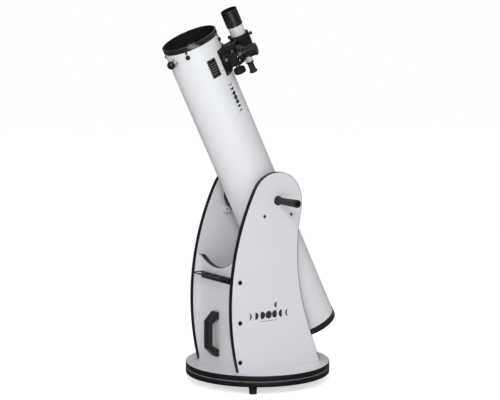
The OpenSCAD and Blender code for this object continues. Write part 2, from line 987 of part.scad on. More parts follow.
module finder_eyepiece() {
  color("black") at_finder() difference() {
    translate([0, 0, finder_rear]) rotate_extrude() polygon([
      [0, 1],
      [8, 1],
      [9, 0],
      [12.5, 0],
      [13.7, 1.5],
      [13.7, 6],
      [10.5, 9],
      [10.5, 33],
      [13.5, 35],
      [13.5, 40.9],
      [0, 40.9]
    ]);
    translate([0, 0, finder_rear + 6]) cylinder(r = 7, h = 36);
  }
}

module finder_screw(turn) {
  at_finder() rotate([0, 0, turn]) translate([0, 0, screw_s]) {
    bar_x(finder_screw_r, finder_r + free_gap, 38);
    bar_x(5.5, 37, 46);
  }
}

module finder_screw_a() {
  color("black") finder_screw(screw_a_angle);
}

module finder_screw_b() {
  color("black") finder_screw(screw_b_angle);
}

ground_board();
ground_strip();
feet();
foot_screws();
azimuth_pads();
pivot_bolt();
pivot_nut();
base_disc();
base_strip();
pivot_bush();
side_panel_left();
side_panel_right();
panel_strip_left();
panel_strip_right();
front_board();
front_strip();
cap_bolts();
carry_handle();
eyepiece_rack();
altitude_rollers();
roller_screws();
tube();
front_ring();
rear_ring();
bearing_left();
bearing_right();
spider();
spider_nuts();
secondary_holder();
secondary_mirror();
primary_mirror();
mirror_cell();
cell_frame();
ring_screws();
guide_stem();
guide_knob();
label_plate();
focuser_base();
focuser_screws();
focuser_body();
finder_shoe();
finder_bracket();
tension_left();
tension_right();
focus_shaft();
focus_knobs();
drawtube();
eyepiece_adapter();
eyepiece();
eyepiece_lock();
focus_lock();
collimation_1();
collimation_2();
collimation_3();
finder_seat();
finder_tube();
finder_shade();
finder_eyepiece();
finder_screw_a();
finder_screw_b();
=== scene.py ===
"""Studio model of a Newtonian telescope on a wooden rocker box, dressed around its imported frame."""

import json
import logging
import math
from dataclasses import dataclass
from enum import Enum
from typing import Callable, Optional, Sequence

import bmesh
import bpy
from mathutils import Matrix, Vector
from mathutils.geometry import tessellate_polygon

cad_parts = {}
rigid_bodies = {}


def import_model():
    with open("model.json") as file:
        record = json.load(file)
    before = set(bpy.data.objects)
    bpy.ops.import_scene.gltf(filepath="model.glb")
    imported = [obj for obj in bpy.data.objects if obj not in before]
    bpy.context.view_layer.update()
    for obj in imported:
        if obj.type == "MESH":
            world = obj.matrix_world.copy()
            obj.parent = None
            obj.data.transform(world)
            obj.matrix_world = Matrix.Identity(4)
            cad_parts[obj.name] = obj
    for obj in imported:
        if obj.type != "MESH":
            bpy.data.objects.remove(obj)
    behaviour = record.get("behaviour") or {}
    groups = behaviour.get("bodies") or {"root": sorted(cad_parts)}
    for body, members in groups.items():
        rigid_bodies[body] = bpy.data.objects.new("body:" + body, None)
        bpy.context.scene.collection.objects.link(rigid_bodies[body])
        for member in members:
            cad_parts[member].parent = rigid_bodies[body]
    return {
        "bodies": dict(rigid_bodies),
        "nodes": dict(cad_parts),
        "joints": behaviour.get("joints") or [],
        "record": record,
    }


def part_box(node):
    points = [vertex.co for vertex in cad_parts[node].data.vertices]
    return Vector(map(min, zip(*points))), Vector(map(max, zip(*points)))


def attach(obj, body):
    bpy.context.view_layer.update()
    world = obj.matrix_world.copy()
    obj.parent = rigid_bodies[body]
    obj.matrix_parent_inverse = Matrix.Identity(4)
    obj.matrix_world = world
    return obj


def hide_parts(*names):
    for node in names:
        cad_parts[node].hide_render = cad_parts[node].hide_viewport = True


LOG = logging.getLogger("telescope")
MM = 0.001
MERGE = 1e-6
POLE = 1e-4  # a profile radius below this is a point on the axis
STRAIGHT = 0.02  # radians; a corner flatter than this isn't rounded
SHARPEST = 0.35  # keeps an inset's corner from running away on a sharp turn
CRISP = 32.0  # degrees; an edge sharper than this stays crisp
Point = tuple[float, float]
Color = tuple[float, float, float]


# ---------- Places ----------


@dataclass(frozen=True)
class Place:
    """A local frame measured in millimetres, standing in the shared frame."""

    origin: Vector
    x: Vector
    y: Vector
    z: Vector

    def matrix(self) -> Matrix:
        """Matrix from local millimetres to the shared frame in metres."""
        turn = Matrix((self.x, self.y, self.z)).transposed() * MM
        return Matrix.Translation(self.origin) @ turn.to_4x4()

    def point(self, x: float, y: float, z: float) -> Vector:
        """Point of the shared frame at these local millimetres."""
        return self.matrix() @ Vector((x, y, z))

    def moved(self, x: float = 0.0, y: float = 0.0, z: float = 0.0) -> "Place":
        """The same frame with its origin moved along its own axes."""
        return Place(self.point(x, y, z), self.x, self.y, self.z)

    def turned(self, degrees: float) -> "Place":
        """The frame turned about its own Z."""
        c, s = math.cos(math.radians(degrees)), math.sin(math.radians(degrees))
        return Place(self.origin, self.x * c + self.y * s, self.y * c - self.x * s, self.z)

    def facing_x(self) -> "Place":
        """The frame whose Z is this one's X, so that turned shapes stand along X."""
        return Place(self.origin, self.y, self.z, self.x)

    def facing(self, direction: Vector) -> "Place":
        """A frame at the same origin whose Z is the given direction.

        Args:
            direction: the way that Z should point; its length doesn't matter.

        Returns:
            The frame.
        """
        z = direction.normalized()
        x = self.z.cross(z)
        if x.length < MERGE:
            x = self.x.cross(z)
        x.normalize()
        return Place(self.origin, x, z.cross(x), z)


WORLD = Place(Vector((0, 0, 0)), Vector((1, 0, 0)), Vector((0, 1, 0)), Vector((0, 0, 1)))


@dataclass(frozen=True)
class Side:
    """One side of the rocker box: its name and its direction along X."""

    name: str
    sign: int


SIDES = (Side("left", -1), Side("right", 1))


class Axes:
    """The frames of the tube, focuser and finder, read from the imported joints."""

    def __init__(self, joints: Sequence[dict]) -> None:
        """Reads the joints.

        Args:
            joints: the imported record's joints.
        """
        named = {joint["name"]: joint for joint in joints}

        def position(name: str) -> Vector:
            """Position of a hinge."""
            return Vector(named[name]["pos_m"])

        def axis(name: str) -> Vector:
            """Axis of a joint."""
            return Vector(named[name]["axis"]).normalized()

        sky = axis("collimation_turn_1")
        self.tube = Place(position("altitude_tilt"), Vector((1, 0, 0)), sky.cross(Vector((1, 0, 0))), sky)
        self.altitude = Place(self.tube.origin, Vector((0, 1, 0)), Vector((0, 0, 1)), Vector((1, 0, 0)))
        out = axis("drawtube_slide")
        station = (position("focus_turn") - self.tube.origin).dot(sky)
        self.focuser = Place(self.tube.origin + sky * station, out, sky.cross(out), sky)
        self.shaft = Place(position("focus_turn"), out, sky.cross(out), sky)
        self.eyepiece_lock = Place(position("eyepiece_lock_turn"), out, sky, -axis("eyepiece_lock_turn"))
        self.focus_lock = Place(position("focus_lock_turn"), out, sky, -axis("focus_lock_turn"))
        seat = position("finder_tilt_a")
        self.seat_station = (seat - self.tube.origin).dot(sky) / MM
        self.finder = Place(seat, self.tube.x, self.tube.y, sky)
        self.finder_screws = {
            "finder_screw_a": -axis("finder_screw_a_travel"),
            "finder_screw_b": -axis("finder_screw_b_travel"),
        }
        self.collimation = {
            f"collimation_{i}": Place(position(f"collimation_turn_{i}"), self.tube.x, self.tube.y, sky)
            for i in (1, 2, 3)
        }

    def on_tube(self, degrees: float, station: float) -> Place:
        """Frame on the tube's axis with X pointing outward at a position angle."""
        return self.tube.moved(z=station).turned(degrees)


# ---------- Outlines ----------


def circle(radius: float, steps: int = 48, x: float = 0.0, y: float = 0.0) -> list[Point]:
    """Circle as a counter-clockwise outline."""
    turns = [2 * math.pi * i / steps for i in range(steps)]
    return [(x + radius * math.cos(a), y + radius * math.sin(a)) for a in turns]


def rectangle(x0: float, y0: float, x1: float, y1: float) -> list[Point]:
    """Rectangle as a counter-clockwise outline."""
    return [(x0, y0), (x1, y0), (x1, y1), (x0, y1)]


def cross(reach: float, half: float) -> list[Point]:
    """Outline of a cross recess.

    Args:
        reach: from the middle to the end of an arm.
        half: half the width of an arm.

    Returns:
        The outline, counter-clockwise.
    """
    return [
        (reach, -half), (reach, half), (half, half), (half, reach), (-half, reach), (-half, half),
        (-reach, half), (-reach, -half), (-half, -half), (-half, -reach), (half, -reach), (half, -half),
    ]


def reverse(outline: Sequence[Point]) -> list[Point]:
    """The outline run the other way, as a hole."""
    return list(reversed(outline))


def rounded(outline: Sequence[Point], radius: float, steps: int = 5, closed: bool = True) -> list[Point]:
    """Rounds every corner of an outline.

    Args:
        outline: the corners in order.
        radius: the largest radius of a corner; short edges get less.
        steps: points along each arc.
        closed: whether the last corner joins the first.

    Returns:
        The outline with each corner turned into an arc.
    """
    points = [Vector(p) for p in outline]
    count = len(points)
    result: list[Point] = []
    for i, corner in enumerate(points):
        if not closed and i in (0, count - 1):
            result.append(tuple(corner))
            continue
        before, after = points[i - 1] - corner, points[(i + 1) % count] - corner
        bend = before.angle(after)
        if bend > math.pi - STRAIGHT:
            result.append(tuple(corner))
            continue
        cut = min(radius / math.tan(bend / 2), before.length * 0.48, after.length * 0.48)
        start, end = corner + before.normalized() * cut, corner + after.normalized() * cut
        for k in range(steps + 1):
            t = k / steps
            result.append(tuple(start * (1 - t) ** 2 + corner * 2 * t * (1 - t) + end * t**2))
    return result


def inset(outline: Sequence[Point], depth: float) -> list[Point]:
    """Moves an outline to its left, which is inward on a counter-clockwise one.

    Args:
        outline: the corners in order.
        depth: how far each edge moves.

    Returns:
        The moved outline, with a corner for each of the old ones.
    """
    points = [Vector(p) for p in outline]
    count = len(points)
    result: list[Point] = []
    for i, here in enumerate(points):
        a, b = here - points[i - 1], points[(i + 1) % count] - here
        n1, n2 = Vector((-a.y, a.x)).normalized(), Vector((-b.y, b.x)).normalized()
        both = n1 + n2
        scale = depth / max(SHARPEST, 1 + n1.dot(n2))
        result.append(tuple(here + both * scale))
    return result


# ---------- Meshes ----------


@dataclass(frozen=True)
class Flutes:
    """Lengthwise grooves around a turned shape."""

    count: int
    depth: float
    low: float
    high: float


class Blank:
    """A mesh being made in local millimetres, with a finish number on each face."""

    def __init__(self) -> None:
        """Starts an empty mesh."""
        self.mesh = bmesh.new()

    def _mark(self, faces: Sequence[bmesh.types.BMFace], finish: int) -> None:
        """Gives faces their finish number."""
        for face in faces:
            face.material_index = finish

    def _bridge(self, lower: list, upper: list, closed: bool = True) -> list[bmesh.types.BMFace]:
        """Joins two rows of vertices, either of which may be a single pole.

        Args:
            lower: the first row.
            upper: the second row.
            closed: whether the rows run all the way round.

        Returns:
            The new faces.
        """
        count = max(len(lower), len(upper))
        faces = []
        for i in range(count if closed else count - 1):
            j = (i + 1) % count
            below = [lower[i % len(lower)], lower[j % len(lower)]]
            above = [upper[j % len(upper)], upper[i % len(upper)]]
            kept = list(dict.fromkeys(below + above))
            if len(kept) > 2:
                faces.append(self.mesh.faces.new(kept))
        return faces

    def lathe(
        self,
        profile: Sequence[Point],
        steps: int = 72,
        finish: int = 0,
        closed: bool = True,
        flutes: Optional[Flutes] = None,
    ) -> "Blank":
        """Turns a profile about local Z.

        Args:
            profile: (radius, height) points.
            steps: vertices around.
            finish: finish number of the faces.
            closed: whether the last point joins the first.
            flutes: grooves cut into part of the height.

        Returns:
            This blank.
        """
        rows = []
        for radius, height in profile:
            if radius < POLE:
                rows.append([self.mesh.verts.new((0, 0, height))])
                continue
            row = []
            for i in range(steps):
                angle = 2 * math.pi * i / steps
                reach = radius
                if flutes and flutes.low <= height <= flutes.high:
                    ease = min(1.0, (height - flutes.low) / 6, (flutes.high - height) / 6)
                    wave = max(0.0, math.cos(flutes.count * angle)) ** 0.6
                    reach -= flutes.depth * wave * max(0.0, ease) ** 0.5
                row.append(self.mesh.verts.new((reach * math.cos(angle), reach * math.sin(angle), height)))
            rows.append(row)
        pairs = list(zip(rows, rows[1:])) + ([(rows[-1], rows[0])] if closed else [])
        for lower, upper in pairs:
            if len(lower) + len(upper) > 2:
                self._mark(self._bridge(lower, upper), finish)
        return self

    def slab(
        self, loops: Sequence[Sequence[Point]], low: float, high: float, edge: float = 0.0, finish: int = 0
    ) -> "Blank":
        """Extrudes outlines along local Z, with rounded rims.

        Args:
            loops: the outer outline counter-clockwise, then any holes clockwise.
            low: lower height.
            high: upper height.
            edge: radius of the rims.
            finish: finish number of the faces.

        Returns:
            This blank.
        """
        levels = [(0.0, low), (0.0, high)]
        if edge:
            quarter = [math.radians(90 * k / 3) for k in range(4)]
            lower = [(edge * (1 - math.sin(a)), low + edge * (1 - math.cos(a))) for a in quarter]
            levels = lower + [(depth, high + low - z) for depth, z in reversed(lower)]
        ends = {}
        for loop in loops:
            rows = [[self.mesh.verts.new((x, y, z)) for x, y in inset(loop, depth)] for depth, z in levels]
            for first, second in zip(rows, rows[1:]):
                self._mark(self._bridge(first, second), finish)
            ends.setdefault("low", []).append(rows[0])
            ends.setdefault("high", []).append(rows[-1])
        for rows in ends.values():
            flat = [vertex for row in rows for vertex in row]
            for triple in tessellate_polygon([[vertex.co.copy() for vertex in row] for row in rows]):
                self._mark([self.mesh.faces.new([flat[i] for i in triple])], finish)
        return self

    def sweep(self, path: Sequence[Vector], radius: float, sides: int = 8, finish: int = 0) -> "Blank":
        """Runs a round wire along a path, with closed ends.

        Args:
            path: points along the wire's middle.
            radius: radius of the wire.
            sides: sides of its section.
            finish: finish number of the faces.

        Returns:
            This blank.
        """
        rows = []
        across = Vector((0, 0, 1))
        for i, here in enumerate(path):
            ahead = (path[min(i + 1, len(path) - 1)] - path[max(i - 1, 0)]).normalized()
            side = ahead.cross(across).normalized()
            up = side.cross(ahead)
            ring = [side * x + up * y for x, y in circle(radius, sides)]
            rows.append([self.mesh.verts.new(here + reach) for reach in ring])
        for first, second in zip(rows, rows[1:]):
            self._mark(self._bridge(first, second), finish)
        for row in (rows[0], rows[-1]):
            self._mark([self.mesh.faces.new(row)], finish)
        return self

    def refine(self, length: float) -> "Blank":
        """Splits long edges, so that a flat shape can be wrapped.

        Args:
            length: the longest edge that may stay.

        Returns:
            This blank.
        """
        for _ in range(6):
            long = [edge for edge in self.mesh.edges if edge.calc_length() > length]
            if not long:
                break
            bmesh.ops.subdivide_edges(self.mesh, edges=long, cuts=1)
            bmesh.ops.triangulate(self.mesh, faces=[f for f in self.mesh.faces if len(f.verts) > 4])
        return self

    def bend(self, rule: Callable[[Vector], Vector]) -> "Blank":
        """Moves every vertex by a rule.

        Args:
            rule: gives a vertex's new place for its old one.

        Returns:
            This blank.
        """
        for vertex in self.mesh.verts:
            vertex.co = rule(vertex.co)
        return self

    def wrap(self, radius: float) -> "Blank":
        """Wraps flat (across, along, height) shapes on a cylinder about Z whose X faces them.

        Args:
            radius: the cylinder's radius, where the shapes' zero height goes.

        Returns:
            This blank.
        """

        def on_cylinder(p: Vector) -> Vector:
            """Place of a flat point on the cylinder."""
            reach, angle = radius + p.z, p.x / radius
            return Vector((reach * math.cos(angle), reach * math.sin(angle), p.y))

        return self.bend(on_cylinder)

    def flat_map(self, name: str) -> "Blank":
        """Stores the flat X and Y of each corner as a UV map, in metres.

        Args:
            name: name of the map.

        Returns:
            This blank.
        """
        layer = self.mesh.loops.layers.uv.new(name)
        for face in self.mesh.faces:
            for loop in face.loops:
                loop[layer].uv = (loop.vert.co.x * MM, loop.vert.co.y * MM)
        return self

    def done(
        self, name: str, place: Place, finishes: Sequence[bpy.types.Material], sharp: float = CRISP
    ) -> bpy.types.Object:
        """Turns the blank into an object whose place is in its mesh.

        Args:
            name: name of the object.
            place: where the blank's millimetres stand.
            finishes: materials in the order of the finish numbers.
            sharp: angle in degrees above which an edge stays crisp.

        Returns:
            The object.
        """
        self.mesh.transform(place.matrix())
        bmesh.ops.remove_doubles(self.mesh, verts=self.mesh.verts, dist=MERGE)
        bmesh.ops.recalc_face_normals(self.mesh, faces=self.mesh.faces)
        data = bpy.data.meshes.new(name)
        self.mesh.to_mesh(data)
        self.mesh.free()
        return as_object(name, data, finishes, sharp)


def smoothed(data: bpy.types.Mesh, sharp: float = CRISP) -> None:
    """Shades a mesh smooth, up to the angle in degrees above which an edge stays crisp."""
    data.shade_smooth()
    data.set_sharp_from_angle(angle=math.radians(sharp))


def as_object(
    name: str, data: bpy.types.Mesh, finishes: Sequence[bpy.types.Material], sharp: float = CRISP
) -> bpy.types.Object:
    """Links a finished mesh to the scene, smooth between its crisp edges.

    Args:
        name: name of the object.
        data: the mesh.
        finishes: materials in the order of the finish numbers.
        sharp: angle in degrees above which an edge stays crisp.

    Returns:
        The object.
    """
    for finish in finishes:
        data.materials.append(finish)
    smoothed(data, sharp)
    piece = bpy.data.objects.new(name, data)
    bpy.context.scene.collection.objects.link(piece)
    return piece


def joined(name: str, pieces: Sequence[bpy.types.Object]) -> bpy.types.Object:
    """Joins objects into the first one, which takes the name.

    Args:
        name: name of the joined object.
        pieces: two or more objects.

    Returns:
        The first object, now holding them all.
    """
    with bpy.context.temp_override(active_object=pieces[0], selected_editable_objects=list(pieces)):
        bpy.ops.object.join()
    pieces[0].name = pieces[0].data.name = name
    return pieces[0]


def baked(piece: bpy.types.Object) -> bpy.types.Object:
    """Replaces an object's mesh by what its modifiers make of it, and drops them.

    Args:
        piece: the object.

    Returns:
        The same object.
    """
    graph = bpy.context.evaluated_depsgraph_get()
    data = bpy.data.meshes.new_from_object(piece.evaluated_get(graph))
    piece.modifiers.clear()
    piece.data = data
    return piece


class Frame:
    def __init__(self) -> None:
        """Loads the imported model."""
        self.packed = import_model()
        self.axes = Axes(self.packed["joints"])
        self.body = {
            node: body
            for body, nodes in self.packed["record"]["behaviour"]["bodies"].items()
            for node in nodes
        }
        self.slot = {part["node"]: part["material_slot"] for part in self.packed["record"]["subparts"]}

    def hang(self, piece: bpy.types.Object, *nodes: str, body: str = "", slot: str = "") -> bpy.types.Object:
        """Hangs a piece on a body and hides the CAD nodes that it replaces.

        Args:
            piece: the finished object.
            nodes: CAD nodes that it replaces.
            body: body it rides on, where it replaces nothing.
            slot: material slot, where it isn't the first node's; not used.

        Returns:
            The same object.
        """
        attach(piece, body or self.body[nodes[0]])
        if nodes:
            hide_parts(*nodes)
        LOG.info("%s rides on %s", piece.name, body or self.body[nodes[0]])
        return piece

    def span(self, node: str, place: Place) -> tuple[float, float]:
        """Lowest and highest millimetre of a CAD node along a place's Z.

        Args:
            node: name of the node.
            place: the place.

        Returns:
            The two heights.
        """
        vertices = self.packed["nodes"][node].data.vertices
        heights = [(vertex.co - place.origin).dot(place.z) / MM for vertex in vertices]
        return min(heights), max(heights)

    def dress(self, finish: bpy.types.Material, *nodes: str) -> None:
        """Gives CAD nodes that stay in view their material.

        Args:
            finish: the material.
            nodes: names of the nodes.
        """
        for node in nodes:
            data = self.packed["nodes"][node].data
            data.materials.clear()
            data.materials.append(finish)
            LOG.info("%s keeps its shape and gets %s", node, finish.name)

    def softened(
        self, name: str, finish: bpy.types.Material, *nodes: str, edge: float = 0.6, limit: float = 38.0
    ) -> bpy.types.Object:
        """Copies CAD nodes with their edges rounded.

        Args:
            name: name of the new piece.
            finish: its material.
            nodes: nodes to copy and replace.
            edge: width of the rounding in millimetres.
            limit: angle in degrees above which an edge is rounded.

        Returns:
            The piece, hung in the nodes' place.
        """
        work = bmesh.new()
        for node in nodes:
            work.from_mesh(self.packed["nodes"][node].data)
        bmesh.ops.remove_doubles(work, verts=work.verts, dist=MERGE * 2)
        bmesh.ops.dissolve_limit(
            work, angle_limit=math.radians(0.4), verts=work.verts, edges=work.edges, delimit={"NORMAL"}
        )
        data = bpy.data.meshes.new(name)
        work.to_mesh(data)
        work.free()
        for layer in list(data.uv_layers):
            data.uv_layers.remove(layer)
        data.polygons.foreach_set("material_index", [0] * len(data.polygons))
        piece = as_object(name, data, [finish])
        bevel = piece.modifiers.new("rounding", "BEVEL")
        bevel.width, bevel.segments = edge * MM, 2
        bevel.limit_method, bevel.angle_limit = "ANGLE", math.radians(limit)
        smoothed(baked(piece).data)
        return self.hang(piece, *nodes)


# ---------- Node trees ----------


class Wiring:
    """Adds and joins nodes in one tree."""

    def __init__(self, tree: bpy.types.NodeTree) -> None:
        """Starts work on a tree."""
        self.tree = tree

    def add(self, kind: str, settings: Optional[dict] = None, **inputs: object) -> bpy.types.Node:
        """Adds a node.

        Args:
            kind: the node's type.
            settings: values of its properties.
            inputs: sockets or values for its inputs, by name with _ for a space, or by _number.

        Returns:
            The node.
        """
        node = self.tree.nodes.new(kind)
        for key, value in (settings or {}).items():
            setattr(node, key, value)
        for key, value in inputs.items():
            socket = node.inputs[int(key[1:])] if key[1:].isdigit() else node.inputs[key.replace("_", " ")]
            if isinstance(value, bpy.types.NodeSocket):
                self.tree.links.new(value, socket)
            else:
                socket.default_value = value
        return node

    def math(self, operation: str, first: object, second: object = 0.0) -> bpy.types.NodeSocket:
        """Adds a math node and gives its result."""
        kind = "ShaderNodeMath"
        return self.add(kind, {"operation": operation}, _0=first, _1=second).outputs[0]


class Tree(Enum):
    """Kinds of node tree."""

    SHADER = "ShaderNodeTree"
    GEOMETRY = "GeometryNodeTree"


def new_group(name: str, kind: Tree, inputs: Sequence[tuple], outputs: Sequence[tuple]) -> tuple:
    """Makes an empty node group.

    Args:
        name: its name.
        kind: shader or geometry.
        inputs: (name, socket type, default) for each input.
        outputs: (name, socket type) for each output.

    Returns:
        The group's tree, its wiring, its input node and its output node.
    """
    tree = bpy.data.node_groups.new(name, kind.value)
    for label, socket, default in inputs:
        made = tree.interface.new_socket(label, in_out="INPUT", socket_type=socket)
        if default is not None:
            made.default_value = default
    for label, socket in outputs:
        tree.interface.new_socket(label, in_out="OUTPUT", socket_type=socket)
    wiring = Wiring(tree)
    return tree, wiring, wiring.add("NodeGroupInput"), wiring.add("NodeGroupOutput")


GEOMETRY, FLOAT, COUNT = "NodeSocketGeometry", "NodeSocketFloat", "NodeSocketInt"
OBJECT, MATERIAL, VECTOR = "NodeSocketObject", "NodeSocketMaterial", "NodeSocketVector"
RIDGE_SIDES = 8


class Repeats:
    """Geometry node trees for what repeats: ridges round a knob, parts set on points, rows of bars."""

    def __init__(self) -> None:
        """Builds the trees."""
        self.ridges = self._ridge_tree()
        self.parts = self._part_tree()
        self.bars = self._bar_tree()

    def _close(self, wiring: Wiring, start: bpy.types.Node, end: bpy.types.Node, made: object) -> None:
        """Ends a tree in Realize Instances and Set Material.

        Args:
            wiring: the tree's wiring.
            start: its input node, which has the Finish.
            end: its output node.
            made: the socket with the geometry.
        """
        real = wiring.add("GeometryNodeRealizeInstances", Geometry=made)
        dressed = wiring.add(
            "GeometryNodeSetMaterial", Geometry=real.outputs[0], Material=start.outputs["Finish"]
        )
        wiring.tree.links.new(dressed.outputs[0], end.inputs[0])

    def _ridge_tree(self) -> bpy.types.NodeTree:
        """Ridges of rounded section standing on a circle, along Z.

        Returns:
            The tree.
        """
        tree, wiring, start, end = new_group(
            "ring_of_ridges",
            Tree.GEOMETRY,
            [
                ("Geometry", GEOMETRY, None), ("Count", COUNT, 24), ("Circle", FLOAT, 0.01),
                ("Width", FLOAT, 0.0005), ("Length", FLOAT, 0.01), ("Middle", VECTOR, None),
                ("Finish", MATERIAL, None),
            ],
            [("Geometry", GEOMETRY)],
        )
        given = start.outputs
        ring = wiring.add("GeometryNodeMeshCircle", Vertices=given["Count"], Radius=given["Circle"])
        ridge = wiring.add(
            "GeometryNodeMeshCylinder", Vertices=RIDGE_SIDES, Radius=given["Width"], Depth=given["Length"]
        )
        set_up = wiring.add("GeometryNodeInstanceOnPoints", Points=ring.outputs[0], Instance=ridge.outputs[0])
        lifted = wiring.add(
            "GeometryNodeTransform", Geometry=set_up.outputs[0], Translation=given["Middle"]
        )
        self._close(wiring, start, end, lifted.outputs[0])
        return tree

    def _part_tree(self) -> bpy.types.NodeTree:
        """A part set on every vertex, with its Z along the vertex's facing attribute.

        Returns:
            The tree.
        """
        tree, wiring, start, end = new_group(
            "parts_on_points",
            Tree.GEOMETRY,
            [("Geometry", GEOMETRY, None), ("Part", OBJECT, None), ("Finish", MATERIAL, None)],
            [("Geometry", GEOMETRY)],
        )
        part = wiring.add("GeometryNodeObjectInfo", Object=start.outputs["Part"])
        facing = wiring.add("GeometryNodeInputNamedAttribute", {"data_type": "FLOAT_VECTOR"}, Name="facing")
        turn = wiring.add("FunctionNodeAlignRotationToVector", {"axis": "Z"}, Vector=facing.outputs[0])
        set_up = wiring.add(
            "GeometryNodeInstanceOnPoints",
            Points=start.outputs[0],
            Instance=part.outputs["Geometry"],
            Rotation=turn.outputs[0],
        )
        self._close(wiring, start, end, set_up.outputs[0])
        return tree

    def _bar_tree(self) -> bpy.types.NodeTree:
        """Round-backed bars across X, in a row.

        Returns:
            The tree.
        """
        tree, wiring, start, end = new_group(
            "row_of_bars",
            Tree.GEOMETRY,
            [
                ("Geometry", GEOMETRY, None), ("Count", COUNT, 20), ("Start", VECTOR, None),
                ("Step", VECTOR, None), ("Thickness", FLOAT, 0.001), ("Length", FLOAT, 0.02),
                ("Finish", MATERIAL, None),
            ],
            [("Geometry", GEOMETRY)],
        )
        given = start.outputs
        line = wiring.add(
            "GeometryNodeMeshLine",
            {"mode": "OFFSET"},
            Count=given["Count"],
            Start_Location=given["Start"],
            Offset=given["Step"],
        )
        bar = wiring.add(
            "GeometryNodeMeshCylinder", Vertices=RIDGE_SIDES, Radius=given["Thickness"], Depth=given["Length"]
        )
        set_up = wiring.add(
            "GeometryNodeInstanceOnPoints",
            Points=line.outputs[0],
            Instance=bar.outputs[0],
            Rotation=(0.0, math.pi / 2, 0.0),
        )
        self._close(wiring, start, end, set_up.outputs[0])
        return tree

    def _run(
        self, name: str, data: bpy.types.Mesh, tree: bpy.types.NodeTree, values: dict
    ) -> bpy.types.Object:
        """Runs a tree on a mesh and keeps the result as a plain mesh.

        Args:
            name: name of the object.
            data: the mesh that the tree starts from.
            tree: the tree.
            values: its inputs by name.

        Returns:
            The object.
        """
        piece = bpy.data.objects.new(name, data)
        bpy.context.scene.collection.objects.link(piece)
        modifier = piece.modifiers.new("repeat", "NODES")
        modifier.node_group = tree
        for item in tree.interface.items_tree:
            if item.item_type == "SOCKET" and item.in_out == "INPUT" and item.name in values:
                modifier[item.identifier] = values[item.name]
        return baked(piece)

    def ridge_ring(
        self, name: str, place: Place, finish: bpy.types.Material, count: int, radius: float, width: float,
        low: float, high: float,
    ) -> bpy.types.Object:
        """Ridges around a turned piece.

        Args:
            name: name of the object.
            place: frame whose Z is the piece's axis.
            finish: material of the ridges.
            count: how many there are.
            radius: radius of the circle they stand on, in millimetres.
            width: radius of one ridge.
            low: lower end along the axis.
            high: upper end along the axis.

        Returns:
            The object.
        """
        values = {
            "Count": count, "Circle": radius * MM, "Width": width * MM, "Length": (high - low) * MM,
            "Middle": (0.0, 0.0, (low + high) / 2 * MM), "Finish": finish,
        }
        piece = self._run(name, bpy.data.meshes.new(name), self.ridges, values)
        piece.data.transform(place.matrix() @ Matrix.Scale(1 / MM, 4))
        smoothed(piece.data, 50.0)
        return piece

    def on_points(
        self, name: str, part: Blank, finish: bpy.types.Material, spots: Sequence[Place]
    ) -> bpy.types.Object:
        """Sets one part on many places, as one mesh.

        Args:
            name: name of the object.
            part: the part, in millimetres with Z outward.
            finish: its material.
            spots: frames whose Z is the way each part faces.

        Returns:
            The object.
        """
        pattern = part.done(name + "_pattern", WORLD, [finish])
        data = bpy.data.meshes.new(name)
        data.from_pydata([spot.origin for spot in spots], [], [])
        facing = data.attributes.new("facing", "FLOAT_VECTOR", "POINT")
        for index, spot in enumerate(spots):
            facing.data[index].vector = spot.z
        piece = self._run(name, data, self.parts, {"Part": pattern, "Finish": finish})
        bpy.data.objects.remove(pattern)
        return piece

    def bar_row(
        self, name: str, finish: bpy.types.Material, start: Vector, step: Vector, count: int,
        thickness: float, length: float,
    ) -> bpy.types.Object:
        """Bars across X in a row, all in metres.

        Args:
            name: name of the object.
            finish: material of the bars.
            start: middle of the first bar.
            step: from one bar to the next.
            count: how many there are.
            thickness: radius of one bar.
            length: its length along X.

        Returns:
            The object.
        """
        values = {
            "Count": count, "Start": tuple(start), "Step": tuple(step), "Thickness": thickness,
            "Length": length, "Finish": finish,
        }
        piece = self._run(name, bpy.data.meshes.new(name), self.bars, values)
        smoothed(piece.data, 50.0)
        return piece


# ---------- Finishes ----------


